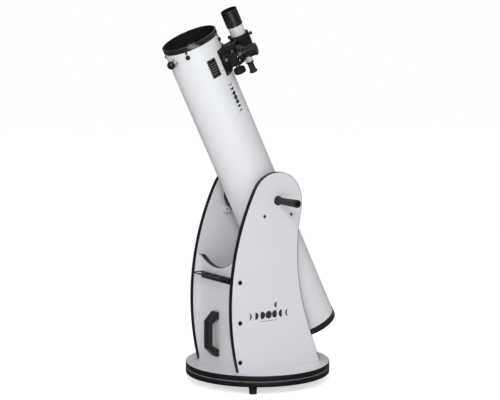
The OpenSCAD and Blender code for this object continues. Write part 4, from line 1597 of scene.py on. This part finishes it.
@dataclass
class OpticalTube:
    """The tube with its rings, bearings, spider, mirrors, guide knob and plate."""

    shop: Workshop
    radius: float = 93.0
    wall: float = 1.2
    front: float = 605.3
    rear: float = 518.8
    spider_station: float = 568.8
    label_station: float = 500.3
    guide_station: float = 563.3
    guide_angle: float = -77.0
    vane_angles: tuple[float, ...] = (45.0, 135.0, 225.0, 315.0)
    hole_radius: float = 27.0
    label_angle: float = -4.0
    label_half: Point = (16.5, 32.0)
    emblem_angle: float = 18.0
    emblem_station: float = 375.0
    moon_radius: float = 8.6
    moon_pitch: float = 17.6
    mirror_radius: float = 76.0
    mirror_face: float = -478.0
    mirror_back: float = -498.0
    mirror_curve: float = 2400.0
    spring_station: float = -511.0
    spring_circle: float = 60.0
    spring_radius: float = 4.6
    spring_wire: float = 0.6
    spring_turns: int = 3
    spring_length: float = 8.0

    def build(self) -> None:
        """Builds and dresses the tube."""
        self._shell()
        self._rings()
        self._bearings()
        self._spider()
        self._mirrors()
        self._guide_knob()
        self._label()
        self._emblem()

    def _shell(self) -> None:
        """White shell, black inside, open under the focuser."""
        shop = self.shop
        r, wall, low, high = self.radius, self.wall, -self.rear + 2.3, self.front - 2.3
        levels = [low + (high - low) * k / 24 for k in range(25)]
        outside = [(r, z) for z in levels]
        inside = [(r - wall, z) for z in reversed(levels)]
        blank = Blank()
        blank.lathe(outside, 192, 0, closed=False)
        blank.lathe([outside[-1], inside[0]], 192, 1, closed=False)
        blank.lathe(inside, 192, 1, closed=False)
        blank.lathe([inside[-1], outside[0]], 192, 1, closed=False)
        finishes = [shop.finishes.tube_paint, shop.finishes.tube_inside]
        shell = blank.done("tube_shell", shop.axes.tube, finishes, 40.0)
        cutter = Blank().slab([circle(self.hole_radius, 64)], 60, 120).done(
            "tube_cutter", shop.axes.focuser.facing_x(), finishes[1:]
        )
        hole = shell.modifiers.new("focuser_hole", "BOOLEAN")
        hole.operation, hole.object, hole.solver = "DIFFERENCE", cutter, "EXACT"
        baked(shell)
        bpy.data.objects.remove(cutter)
        smoothed(shell.data, 40.0)
        shop.frame.hang(shell, "tube")

    def _rings(self) -> None:
        """Rolled end rings, their screws and the tabs behind the front ring."""
        shop, r, f, b = self.shop, self.radius, self.front, -self.rear
        front = rounded(
            [
                (r + 0.05, f - 17.3), (r + 1.2, f - 17.3), (r + 1.6, f - 16.6), (r + 1.6, f), (r - 3.0, f),
                (r - 3.0, f - 2.3), (r + 0.05, f - 2.3),
            ],
            1.2, 5,
        )
        rear = rounded(
            [
                (r + 0.05, b + 22.3), (r + 0.05, b + 2.3), (r - 8, b + 2.3), (r - 8, b), (r + 1.6, b),
                (r + 1.6, b + 21.6), (r + 1.2, b + 22.3),
            ],
            1.2, 5,
        )
        for node, profile in (("front_ring", front), ("rear_ring", rear)):
            blank = Blank().lathe(profile, 192)
            ring = blank.done(node + "_rolled", shop.axes.tube, [shop.finishes.ring_gloss])
            shop.frame.hang(ring, node)
        tabs = []
        for index, angle in enumerate(self.vane_angles):
            outline = rounded(rectangle(-3.2, -2.8, 3.2, 6.0), 1.4, 3)
            blank = Blank().slab([outline], 0.03, 1.1, edge=0.3).refine(4.0).wrap(r)
            place = shop.axes.on_tube(angle, f - 22.5)
            tabs.append(blank.done(f"ring_tab_{index}", place, [shop.finishes.moulded]))
        shop.frame.hang(joined("ring_tabs", tabs), body="optical_tube", slot="ring_black")
        spots = [shop.axes.on_tube(a, f - 21).moved(r + 0.9).facing_x() for a in self.vane_angles]
        spots += [shop.axes.on_tube(a, b + 11).moved(r + 1.6).facing_x() for a in range(30, 360, 60)]
        head = screw_head(3.2, 1.4, cross(1.7, 0.4))
        screws = shop.repeats.on_points("ring_screw_heads", head, shop.finishes.moulded, spots)
        shop.frame.hang(screws, "ring_screws")

    def _bearings(self) -> None:
        """Plastic altitude bearings with rounded rims."""
        frame = self.shop.frame
        for side in SIDES:
            node = "bearing_" + side.name
            frame.softened(node + "_moulded", self.shop.finishes.moulded, node, edge=0.9, limit=50)

    def _spider(self) -> None:
        """Spider, its nuts, the holder and three adjusting screws."""
        shop = self.shop
        frame, finishes = shop.frame, shop.finishes
        frame.softened("spider_vanes", finishes.cast, "spider", edge=0.25)
        frame.softened("secondary_stalk", finishes.cast, "secondary_holder", edge=0.5)
        nuts = []
        for index, angle in enumerate(self.vane_angles):
            place = shop.axes.on_tube(angle, self.spider_station).facing_x()
            low = self.radius + 0.3
            profile = [
                (2.6, low), (7.0, low), (7.5, low + 0.5), (7.5, low + 3.7), (6.9, low + 4.3),
                (5.0, low + 4.3), (5.0, low + 6.0), (4.4, low + 6.6), (0, low + 6.6), (0, low + 6.1),
                (2.6, low + 6.1),
            ]
            name = f"spider_nut_{index}"
            core = Blank().lathe(profile, 40, closed=True).done(name, place, [finishes.moulded])
            ring = shop.repeats.ridge_ring(
                name + "_ridges", place, finishes.moulded, 28, 7.3, 0.35, low + 0.6, low + 3.7
            )
            nuts += [core, ring]
        frame.hang(joined("spider_nuts_knurled", nuts), "spider_nuts")
        hub = shop.axes.tube.moved(z=self.spider_station + 13.0)
        spots = [hub.turned(angle).moved(8.5) for angle in (90, 210, 330)]
        heads = shop.repeats.on_points(
            "secondary_screws", screw_head(2.2, 2.4, hexagon(1.2)), finishes.steel, spots
        )
        frame.hang(heads, body="optical_tube", slot="steel")

    def _mirrors(self) -> None:
        """Mirrors, the cell and its frame, and the springs between them."""
        shop = self.shop
        frame, finishes = shop.frame, shop.finishes
        frame.softened("mirror_cell_cast", finishes.cast, "mirror_cell", edge=0.5)
        frame.softened("cell_frame_cast", finishes.cast, "cell_frame", edge=0.5)
        frame.dress(finishes.mirror, "secondary_mirror")
        rim, face, back = self.mirror_radius, self.mirror_face, self.mirror_back
        radii = [rim * k / 16 for k in range(17)]
        profile = [(r, face - (rim**2 - r**2) / (2 * self.mirror_curve)) for r in radii]
        profile += [(rim, face - 0.6), (rim, back + 0.8), (rim - 0.8, back), (0, back)]
        blank = Blank().lathe(profile, 128, closed=False)
        mirror = blank.done("primary_mirror_ground", shop.axes.tube, [finishes.mirror])
        frame.hang(mirror, "primary_mirror")
        wire, coil, steps = self.spring_wire, self.spring_radius, 20 * self.spring_turns
        turns = [2 * math.pi * self.spring_turns * k / steps for k in range(steps + 1)]
        rise = (self.spring_length - 2 * wire) / turns[-1]
        path = [Vector((coil * math.cos(a), coil * math.sin(a), wire + rise * a)) for a in turns]
        for index in (1, 2, 3):
            level = shop.axes.tube.moved(z=self.spring_station)
            place = level.turned(120 * index - 30).moved(self.spring_circle)
            spring = Blank().sweep(path, wire, 8).done(f"cell_spring_{index}", place, [finishes.steel])
            frame.hang(spring, body="optical_tube", slot="steel")

    def _guide_knob(self) -> None:
        """Ball knob on a turned collar."""
        shop, r = self.shop, self.radius
        place = shop.axes.on_tube(self.guide_angle, self.guide_station).facing_x()
        collar = [
            (0, r - 4), (2.5, r - 4), (2.5, r + 0.3), (10.4, r + 0.3), (11, r + 0.9), (11, r + 3.0),
            (10.2, r + 3.6), (9.2, r + 4.2), (8.6, r + 6.0), (8.8, r + 9.0), (9.4, r + 10.4), (8.8, r + 11.0),
            (4, r + 11.0), (4, r + 16), (0, r + 16),
        ]
        stem = Blank().lathe(rounded(collar, 0.5, 3, closed=False), 64, closed=False)
        shop.frame.hang(stem.done("guide_collar", place, [shop.finishes.chrome]), "guide_stem")
        ball, centre, cut = 14.0, r + 22.0, r + 11.0
        start = math.asin((cut - centre) / ball)
        arc = [start + (math.pi / 2 - start) * k / 28 for k in range(29)]
        profile = [(0, cut + 5.1), (4.05, cut + 5.1), (4.05, cut)]
        profile += [(ball * math.cos(a), centre + ball * math.sin(a)) for a in arc[:-1]]
        profile += [(0, centre + ball)]
        knob = Blank().lathe(profile, 64, closed=False).done("guide_ball", place, [shop.finishes.knob])
        shop.frame.hang(knob, "guide_knob")

    def _label(self) -> None:
        """Curved plate with a ruled border and two rivets."""
        shop = self.shop
        place = shop.axes.on_tube(self.label_angle, self.label_station)
        half, tall = self.label_half
        outline = rounded(rectangle(-half, -tall, half, tall), 2.5, 4)
        plate = Blank().slab([outline], 0.02, 0.6, edge=0.2).refine(5.0).flat_map("plate").wrap(self.radius)
        shop.frame.hang(plate.done("plate_ruled", place, [shop.finishes.plate]), "label_plate")
        spots = [place.moved(self.radius + 0.55, z=z).facing_x() for z in (4.5 - tall, tall - 4.5)]
        rivet = Blank().lathe([(0, 0.7), (0.8, 0.6), (1.4, 0.1), (1.4, 0), (0, 0)], 16, closed=False)
        rivets = shop.repeats.on_points("plate_rivets", rivet, shop.finishes.steel, spots)
        shop.frame.hang(rivets, body="optical_tube", slot="steel")

    def _emblem(self) -> None:
        """Row of moon phases printed along the tube."""
        shop = self.shop
        place = shop.axes.on_tube(self.emblem_angle, self.emblem_station)
        blank = moon_row(Blank(), self.moon_radius, self.moon_pitch, MOONS)
        blank.slab([rectangle(-56, -12.4, 56, -11.8)], 0.0, INK)
        blank.refine(6.0).bend(lambda p: Vector((p.y, p.x, p.z))).wrap(self.radius)
        printed = blank.done("tube_moons", place, [shop.finishes.ink])
        shop.frame.hang(printed, body="optical_tube", slot="label")


# ---------- Focuser ----------


@dataclass
class Focuser:
    """Saddle, housing, drawtube, eyepiece, shaft, knobs and thumbscrews."""

    shop: Workshop
    draw_radius: float = 25.4
    flange: float = 138.0
    adapter: float = 146.0
    eyepiece: float = 156.0
    knob_near: float = 35.0
    knob_far: float = 53.0
    knob_radius: float = 20.0
    shaft_half: float = 52.0
    saddle_screws: tuple[float, float, float] = (97.1, 21.5, 37.0)
    adapter_lock_angle: float = 16.0

    def build(self) -> None:
        """Builds and dresses the focuser."""
        self._housing()
        self._drive()
        self._drawtube()
        self._eyepiece()
        self._locks()

    def _housing(self) -> None:
        """Saddle on the tube, housing and the screws of the saddle."""
        shop = self.shop
        frame, finishes = shop.frame, shop.finishes
        frame.softened("focuser_saddle", finishes.cast, "focuser_base", edge=0.8, limit=45)
        frame.softened("focuser_housing", finishes.cast, "focuser_body", edge=1.0, limit=45)
        reach, angle, height = self.saddle_screws
        spots = [
            shop.axes.focuser.moved(z=level * height).turned(side * angle).moved(reach).facing_x()
            for side in (-1, 1) for level in (-1, 1)
        ]
        heads = shop.repeats.on_points(
            "saddle_screws", screw_head(3.6, 1.9, cross(1.9, 0.45)), finishes.screw, spots
        )
        frame.hang(heads, "focuser_screws")

    def _drive(self) -> None:
        """Shaft with its collars, and two ribbed focus knobs."""
        shop = self.shop
        finishes = shop.finishes
        end = self.shaft_half
        bar = rounded([(0, -end), (4, -end), (4, end), (0, end)], 0.6, 3, closed=False)
        shaft = Blank().lathe(bar, 40, closed=False)
        for sign in (-1, 1):
            near, far = sign * 24.4, sign * 28.8
            shaft.lathe(rounded([(4, near), (5.6, near), (5.6, far), (4, far)], 0.4, 3), 40)
        shop.frame.hang(shaft.done("focus_shaft_turned", shop.axes.shaft, [finishes.steel]), "focus_shaft")
        parts = []
        near, far, r = self.knob_near, self.knob_far, self.knob_radius
        for sign, name in ((-1, "low"), (1, "high")):
            profile = rounded(
                [
                    (4, near - 6), (9, near - 6), (9, near), (r - 1.8, near), (r - 0.6, near + 1.2),
                    (r - 0.6, far - 1.6), (r - 2.4, far), (r - 6, far), (r - 7, far - 1.4), (6, far - 1.4),
                    (5.5, far - 0.6), (4, far - 0.6),
                ],
                0.7, 3,
            )
            knob = Blank().lathe([(radius, sign * height) for radius, height in profile], 96)
            parts.append(knob.done("knob_" + name, shop.axes.shaft, [finishes.moulded]))
            low, high = sorted((sign * (near + 2.2), sign * (far - 2.6)))
            parts.append(shop.repeats.ridge_ring(
                "knob_ribs_" + name, shop.axes.shaft, finishes.rubber, 56, r - 0.75, 0.7, low, high
            ))
        shop.frame.hang(joined("focus_knobs_ribbed", parts), "focus_knobs")

    def _drawtube(self) -> None:
        """Bright drawtube with its driven strip, its dark flange and a small lock screw."""
        shop = self.shop
        finishes = shop.finishes
        r, flange, top = self.draw_radius, self.flange, self.adapter
        profile = rounded(
            [
                (r - 2.4, 80), (r, 80), (r, flange), (29, flange), (30, flange + 1), (30, flange + 2.6),
                (29.4, flange + 3.1), (29.4, flange + 3.9), (30, flange + 4.4), (30, top - 1.5), (28.5, top),
                (r - 2.4, top),
            ],
            0.4, 2,
        )
        base, out = shop.axes.focuser, shop.axes.focuser.facing_x()
        tube = Blank().lathe(profile, 96).done("drawtube_pipe", out, [finishes.chrome])
        key = Blank().slab([rounded(rectangle(80, -r - 0.5, flange, -r + 3.5), 0.3, 2)], -4, 4, edge=0.3)
        strip = key.done("drawtube_key", base, [finishes.chrome])
        cover = rounded(
            [
                (26.3, flange + 0.1), (30.25, flange + 0.1), (30.25, top - 1.3), (28.7, top + 0.02),
                (26.3, top + 0.02),
            ],
            0.5, 3,
        )
        dark = Blank().lathe(cover, 96).done("drawtube_flange", out, [finishes.anodised])
        shop.frame.hang(joined("drawtube_turned", [tube, strip, dark]), "drawtube")
        angle = math.radians(self.adapter_lock_angle)
        toward = base.y * -math.cos(angle) - base.z * math.sin(angle)
        place = base.moved(flange + 4.0).facing(toward)
        screw = KnurledScrew(24.0, 2.0, 3.7, 31.2, 41.0).build(shop, "adapter_lock", place, finishes.steel)
        shop.frame.hang(screw, body="drawtube", slot="steel")

    def _eyepiece(self) -> None:
        """Eyepiece adapter, and the eyepiece with rubber ribs and an eye lens."""
        shop = self.shop
        finishes = shop.finishes
        out = shop.axes.focuser.facing_x()
        a, e = self.adapter, self.eyepiece
        adapter = rounded(
            [
                (15.93, self.flange - 4), (22.9, self.flange - 4), (22.9, a + 0.05), (26, a + 0.05),
                (26.5, a + 1), (26.5, a + 5), (24.6, a + 7), (22, e - 0.5), (15.93, e - 0.5),
            ],
            0.6, 3,
        )
        piece = Blank().lathe(adapter, 96).done("adapter_turned", out, [finishes.anodised])
        shop.frame.hang(piece, "eyepiece_adapter")
        barrel = rounded(
            [
                (13.5, 132), (15.8, 132), (15.8, 148), (15.2, 148.4), (15.2, 151), (15.8, 151.4), (15.8, e),
                (13.5, e),
            ],
            0.3, 2,
        )
        body = rounded(
            [
                (13.5, e), (18, e), (18.5, e + 1), (18.5, e + 13), (20, e + 15), (20, e + 34), (21, e + 36),
                (21, e + 42), (19, e + 44), (13, e + 44), (10, e + 40), (10, e + 37), (13.5, e + 34),
            ],
            0.8, 4,
        )
        blank = Blank().lathe(barrel, 72, 1).lathe(body, 96, 0)
        lens = [(0, e + 38.4)] + [(10.2 * k / 8, e + 38.4 - 0.6 * (k / 8) ** 2) for k in range(1, 9)]
        lens += [(10.2, e + 37), (0, e + 37)]
        blank.lathe(lens, 48, 2, closed=False)
        eyepiece = blank.done("eyepiece_body", out, [finishes.anodised, finishes.chrome, finishes.lens])
        ribs = shop.repeats.ridge_ring(
            "eyepiece_ribs", out, finishes.rubber, 48, 19.9, 0.55, e + 17.0, e + 32.5
        )
        shop.frame.hang(joined("eyepiece_turned", [eyepiece, ribs]), "eyepiece")

    def _locks(self) -> None:
        """Knurled thumbscrews of the eyepiece holder and the drawtube."""
        shop = self.shop
        for node, place, near, far in (
            ("eyepiece_lock", shop.axes.eyepiece_lock, 13.3, 24.8),
            ("focus_lock", shop.axes.focus_lock, 10.3, 24.3),
        ):
            tip = shop.frame.span(node, place)[0]
            screw = KnurledScrew(tip, 2.5, 5.0, tip + near, tip + far)
            piece = screw.build(shop, node + "_knurled", place, shop.finishes.steel)
            shop.frame.hang(piece, node)


# ---------- Finder ----------


@dataclass
class Finder:
    """Finder scope, its bracket, seat ring and adjusting screws."""

    shop: Workshop
    radius: float = 25.5
    tail: float = 14.0
    front: float = 626.8
    shade: float = 570.3
    rear: float = 396.3
    neck: float = -28.0
    screw_height: float = 40.0
    screw_ball: float = 6.2
    screw_centre: float = 43.0

    def build(self) -> None:
        """Builds and dresses the finder."""
        self._bracket()
        self._scope()
        self._screws()

    def _z(self, station: float) -> float:
        """Height over the seat of a station along the tube."""
        return station - self.shop.axes.seat_station

    def _bracket(self) -> None:
        """Bracket, shoe and rubber seat ring."""
        shop = self.shop
        frame, finishes = shop.frame, shop.finishes
        frame.softened("finder_bracket_cast", finishes.cast, "finder_bracket", edge=0.8, limit=40)
        frame.softened("finder_shoe_cast", finishes.cast, "finder_shoe", edge=0.6)
        near, far = self.radius + 0.3, self.radius + 1.4
        ring = rounded([(near, -1.5), (far, -1.5), (far, 1.5), (near, 1.5)], 0.7, 4)
        seat = Blank().lathe(ring, 72).done("finder_seat_ring", shop.axes.finder, [finishes.rubber])
        frame.hang(seat, "finder_seat")

    def _scope(self) -> None:
        """Main tube with its tail, shade with lens, and eyepiece."""
        shop = self.shop
        finishes = shop.finishes
        r, tail, place = self.radius, self.tail, shop.axes.finder
        shade, neck, end = self._z(self.shade), self.neck, self._z(self.rear + 41)
        body = rounded(
            [
                (r - 1.5, shade), (r, shade), (r, -8), (tail, neck), (tail, end), (tail - 1.5, end),
                (tail - 1.5, neck + 1), (r - 1.5, -7),
            ],
            3.0, 5,
        )
        tube = Blank().lathe(body, 96).done("finder_tube_turned", place, [finishes.tube_paint])
        shop.frame.hang(tube, "finder_tube")
        top = self._z(self.front)
        hood = rounded(
            [
                (r - 3, shade), (r + 2.0, shade), (r + 2.5, shade + 0.8), (r + 2.5, shade + 7),
                (r + 1.7, shade + 7.8), (r + 1.7, shade + 9.4), (r + 2.5, shade + 10.2), (r + 2.5, top - 1),
                (r + 2.0, top), (r + 0.7, top), (r + 0.5, shade + 12), (r - 3, shade + 10),
            ],
            0.6, 4,
        )
        blank = Blank().lathe(hood, 96)
        glass = [((r - 1.5) * k / 10, shade + 14.0 - 3.0 * (k / 10) ** 2) for k in range(11)]
        glass += [(r - 1.5, shade + 8.5), (0, shade + 8.5)]
        blank.lathe(glass, 72, 1, closed=False)
        glazed = blank.done("finder_shade_turned", place, [finishes.anodised, finishes.lens])
        shop.frame.hang(glazed, "finder_shade")
        low = self._z(self.rear)
        cup = rounded(
            [
                (7, low + 5), (8, low + 1), (9, low), (12.5, low), (13.7, low + 1.5), (13.7, low + 6),
                (10.5, low + 9), (10.5, low + 33), (13.5, low + 35), (13.5, low + 40.9), (7, low + 40.9),
            ],
            0.9, 4,
        )
        piece = Blank().lathe(cup, 72, 0)
        piece.lathe([(0, low + 5.2), (7.2, low + 6.2), (7.2, low + 8), (0, low + 8)], 48, 1, closed=False)
        made = piece.done("finder_eyepiece_body", place, [finishes.anodised, finishes.lens])
        ribs = shop.repeats.ridge_ring(
            "finder_eyepiece_ribs", place, finishes.rubber, 36, 13.4, 0.4, low + 35.8, low + 40
        )
        shop.frame.hang(joined("finder_eyepiece_turned", [made, ribs]), "finder_eyepiece")

    def _screws(self) -> None:
        """Ball-headed adjusting screws."""
        shop = self.shop
        tip, head, centre = self.radius + 0.3, self.screw_ball, self.screw_centre
        arc = [math.radians(-62 + 142 * k / 12) for k in range(13)]
        profile = [(0, tip), (1.5, tip), (2.0, tip + 0.6), (2.0, 37.2)]
        profile += [(head * math.cos(a), centre + head * 0.9 * math.sin(a)) for a in arc]
        profile += [(0, centre + head * 0.9 * math.sin(arc[-1]))]
        for node, direction in shop.axes.finder_screws.items():
            place = shop.axes.finder.moved(z=self.screw_height).facing(direction)
            blank = Blank().lathe(profile, 40, closed=False)
            shop.frame.hang(blank.done(node + "_turned", place, [shop.finishes.knob]), node)


# ---------- Handles and knobs ----------


@dataclass
class TensionHandles:
    """Fluted handles that clamp the altitude bearings."""

    shop: Workshop
    tip: float = 96.0
    near: float = 131.4
    far: float = 247.0
    flutes: int = 12
    flute_depth: float = 0.9

    def build(self) -> None:
        """Builds both handles."""
        origin = self.shop.axes.tube.origin
        for side in SIDES:
            node = "tension_" + side.name
            place = Place(origin, WORLD.y * side.sign, WORLD.z, WORLD.x * side.sign)
            self.shop.frame.hang(self._grip(node, place), node)

    def _grip(self, node: str, place: Place) -> bpy.types.Object:
        """Makes one handle.

        Args:
            node: the CAD node it stands for.
            place: frame whose Z is the handle's axis.

        Returns:
            The handle.
        """
        near, far = self.near, self.far
        stations = [near + 12 + (far - near - 22) * k / 30 for k in range(31)]
        flank = [(11.2 + 2.4 * ((z - near) / (far - near)) ** 1.3, z) for z in stations]
        profile = [
            (0, self.tip), (4.5, self.tip), (5, self.tip + 0.5), (5, near), (15.4, near), (16, near + 0.6),
            (16, near + 2), (15.4, near + 2.7), (12.8, near + 3.6), (11.4, near + 6), *flank,
            (13.6, far - 6), (13.5, far - 2), (12.8, far - 0.6), (11.6, far), (9.0, far), (8.5, far - 0.6),
            (8.3, far - 14), (0, far - 14),
        ]
        flutes = Flutes(self.flutes, self.flute_depth, near + 8, far - 7)
        blank = Blank().lathe(profile, 192, closed=False, flutes=flutes)
        return blank.done(node + "_fluted", place, [self.shop.finishes.handle], 40)


@dataclass
class CollimationKnobs:
    """Three knurled knobs behind the mirror cell."""

    shop: Workshop

    def build(self) -> None:
        """Builds the knobs."""
        shop = self.shop
        for node, place in shop.axes.collimation.items():
            low, high = shop.frame.span(node, place)
            profile = rounded(
                [
                    (0, low + 0.8), (6.5, low + 0.8), (7.2, low), (8.6, low), (9, low + 0.6), (9, low + 12.4),
                    (8.4, low + 13), (3, low + 13), (3, high - 0.4), (2.6, high), (0, high),
                ],
                0.4, 3, closed=False,
            )
            core = Blank().lathe(profile, 60, closed=False).done(node + "_core", place, [shop.finishes.steel])
            ring = shop.repeats.ridge_ring(
                node + "_ridges", place, shop.finishes.steel, 40, 8.85, 0.4, low + 1.4, low + 11.6
            )
            shop.frame.hang(joined(node + "_knurled", [core, ring]), node)


# ---------- Studio ----------


@dataclass(frozen=True)
class Lamp:
    """A soft lamp: where it stands, its size in metres and its power in watts."""

    name: str
    spot: tuple[float, float, float]
    width: float
    height: float
    power: float


@dataclass
class Studio:
    """Pale floor, soft lights and the camera."""

    shop: Workshop
    lamps: tuple[Lamp, ...] = (
        Lamp("key", (3.0, -2.3, 2.6), 1.6, 1.6, 72.0),
        Lamp("front", (0.6, -4.0, 2.0), 1.2, 1.2, 17.0),
        Lamp("low", (2.1, -0.85, 0.12), 2.4, 0.8, 12.0),
    )
    aim: tuple[float, float, float] = (0.0, 0.0, 0.65)
    sun_spread: float = 100.0
    sun_lean: Point = (-12.0, 8.0)
    floor_level: float = -0.2
    mirrored_floor: float = 0.12
    eye: tuple[float, float, float] = (4453.3, -2996.5, 1283.3)
    yaw: float = 56.342
    pitch: float = 6.993
    lens: float = 113.7
    surround: float = 0.2
    overhead: float = 0.95
    glow: float = 0.55

    def build(self) -> None:
        """Sets up the studio."""
        self._floor()
        self._lights()
        self._camera()

    def _floor(self) -> None:
        """Round pale floor, which glows a little to the camera and is dim in reflections."""
        floor = Blank().lathe([(r, self.floor_level) for r in (0, 600, 2500, 12000)], 96, closed=False)
        finish = self.shop.finishes.floor
        wiring = Wiring(finish.node_tree)
        shader = principled(finish.node_tree)
        path = wiring.add("ShaderNodeLightPath")
        mirrored = path.outputs["Is Glossy Ray"]
        strength = wiring.math("MULTIPLY", path.outputs["Is Camera Ray"], self.glow)
        finish.node_tree.links.new(strength, shader.inputs["Emission Strength"])
        shader.inputs["Emission Color"].default_value = (1.0, 1.0, 1.0, 1.0)
        pale = shader.inputs["Base Color"].links[0].from_socket
        dim = (*[self.mirrored_floor] * 3, 1.0)
        tone = wiring.add("ShaderNodeMix", {"data_type": "RGBA"}, _0=mirrored, _6=pale, _7=dim)
        finish.node_tree.links.new(tone.outputs[2], shader.inputs["Base Color"])
        floor.done("studio_floor", WORLD, [finish])

    def _lights(self) -> None:
        """White surroundings, a broad overhead light and the soft lamps."""
        scene = bpy.context.scene
        world = bpy.data.worlds.new("studio")
        world.use_nodes = True
        wiring = Wiring(world.node_tree)
        background = world.node_tree.nodes["Background"]
        background.inputs["Color"].default_value = (1.0, 1.0, 1.0, 1.0)
        seen = wiring.add("ShaderNodeLightPath").outputs["Is Camera Ray"]
        strength = wiring.add("ShaderNodeMapRange", _0=seen, _3=self.surround, _4=1.0).outputs[0]
        world.node_tree.links.new(strength, background.inputs["Strength"])
        scene.world = world
        scene.view_settings.view_transform = "Standard"
        scene.view_settings.look = "None"
        sun = bpy.data.lights.new("overhead", "SUN")
        sun.energy, sun.angle = self.overhead, math.radians(self.sun_spread)
        above = bpy.data.objects.new("overhead", sun)
        above.rotation_euler = (*[math.radians(lean) for lean in self.sun_lean], 0.0)
        scene.collection.objects.link(above)
        for lamp in self.lamps:
            data = bpy.data.lights.new(lamp.name, "AREA")
            data.shape = "RECTANGLE"
            data.energy, data.size, data.size_y = lamp.power, lamp.width, lamp.height
            placed = bpy.data.objects.new(lamp.name, data)
            placed.location = lamp.spot
            toward = Vector(self.aim) - Vector(lamp.spot)
            placed.rotation_euler = toward.to_track_quat("-Z", "Y").to_euler()
            scene.collection.objects.link(placed)

    def _camera(self) -> None:
        """Camera at the viewing angle, with no shift."""
        data = bpy.data.cameras.new("camera")
        data.lens, data.sensor_width, data.clip_end = self.lens, 36.0, 100.0
        camera = bpy.data.objects.new("camera", data)
        camera.location = Vector(self.eye) * MM
        camera.rotation_euler = (math.radians(90 - self.pitch), 0.0, math.radians(self.yaw))
        bpy.context.scene.collection.objects.link(camera)
        bpy.context.scene.camera = camera


def main() -> None:
    """Builds every sub-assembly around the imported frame."""
    logging.basicConfig(level=logging.INFO, format="%(name)s: %(message)s")
    frame = Frame()
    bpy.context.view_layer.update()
    shop = Workshop(frame, Finishes(), Repeats())
    for assembly in (RockerBox, OpticalTube, Focuser, Finder, TensionHandles, CollimationKnobs, Studio):
        assembly(shop).build()
        LOG.info("%s built", assembly.__name__)


if __name__ == "__main__":
    main()
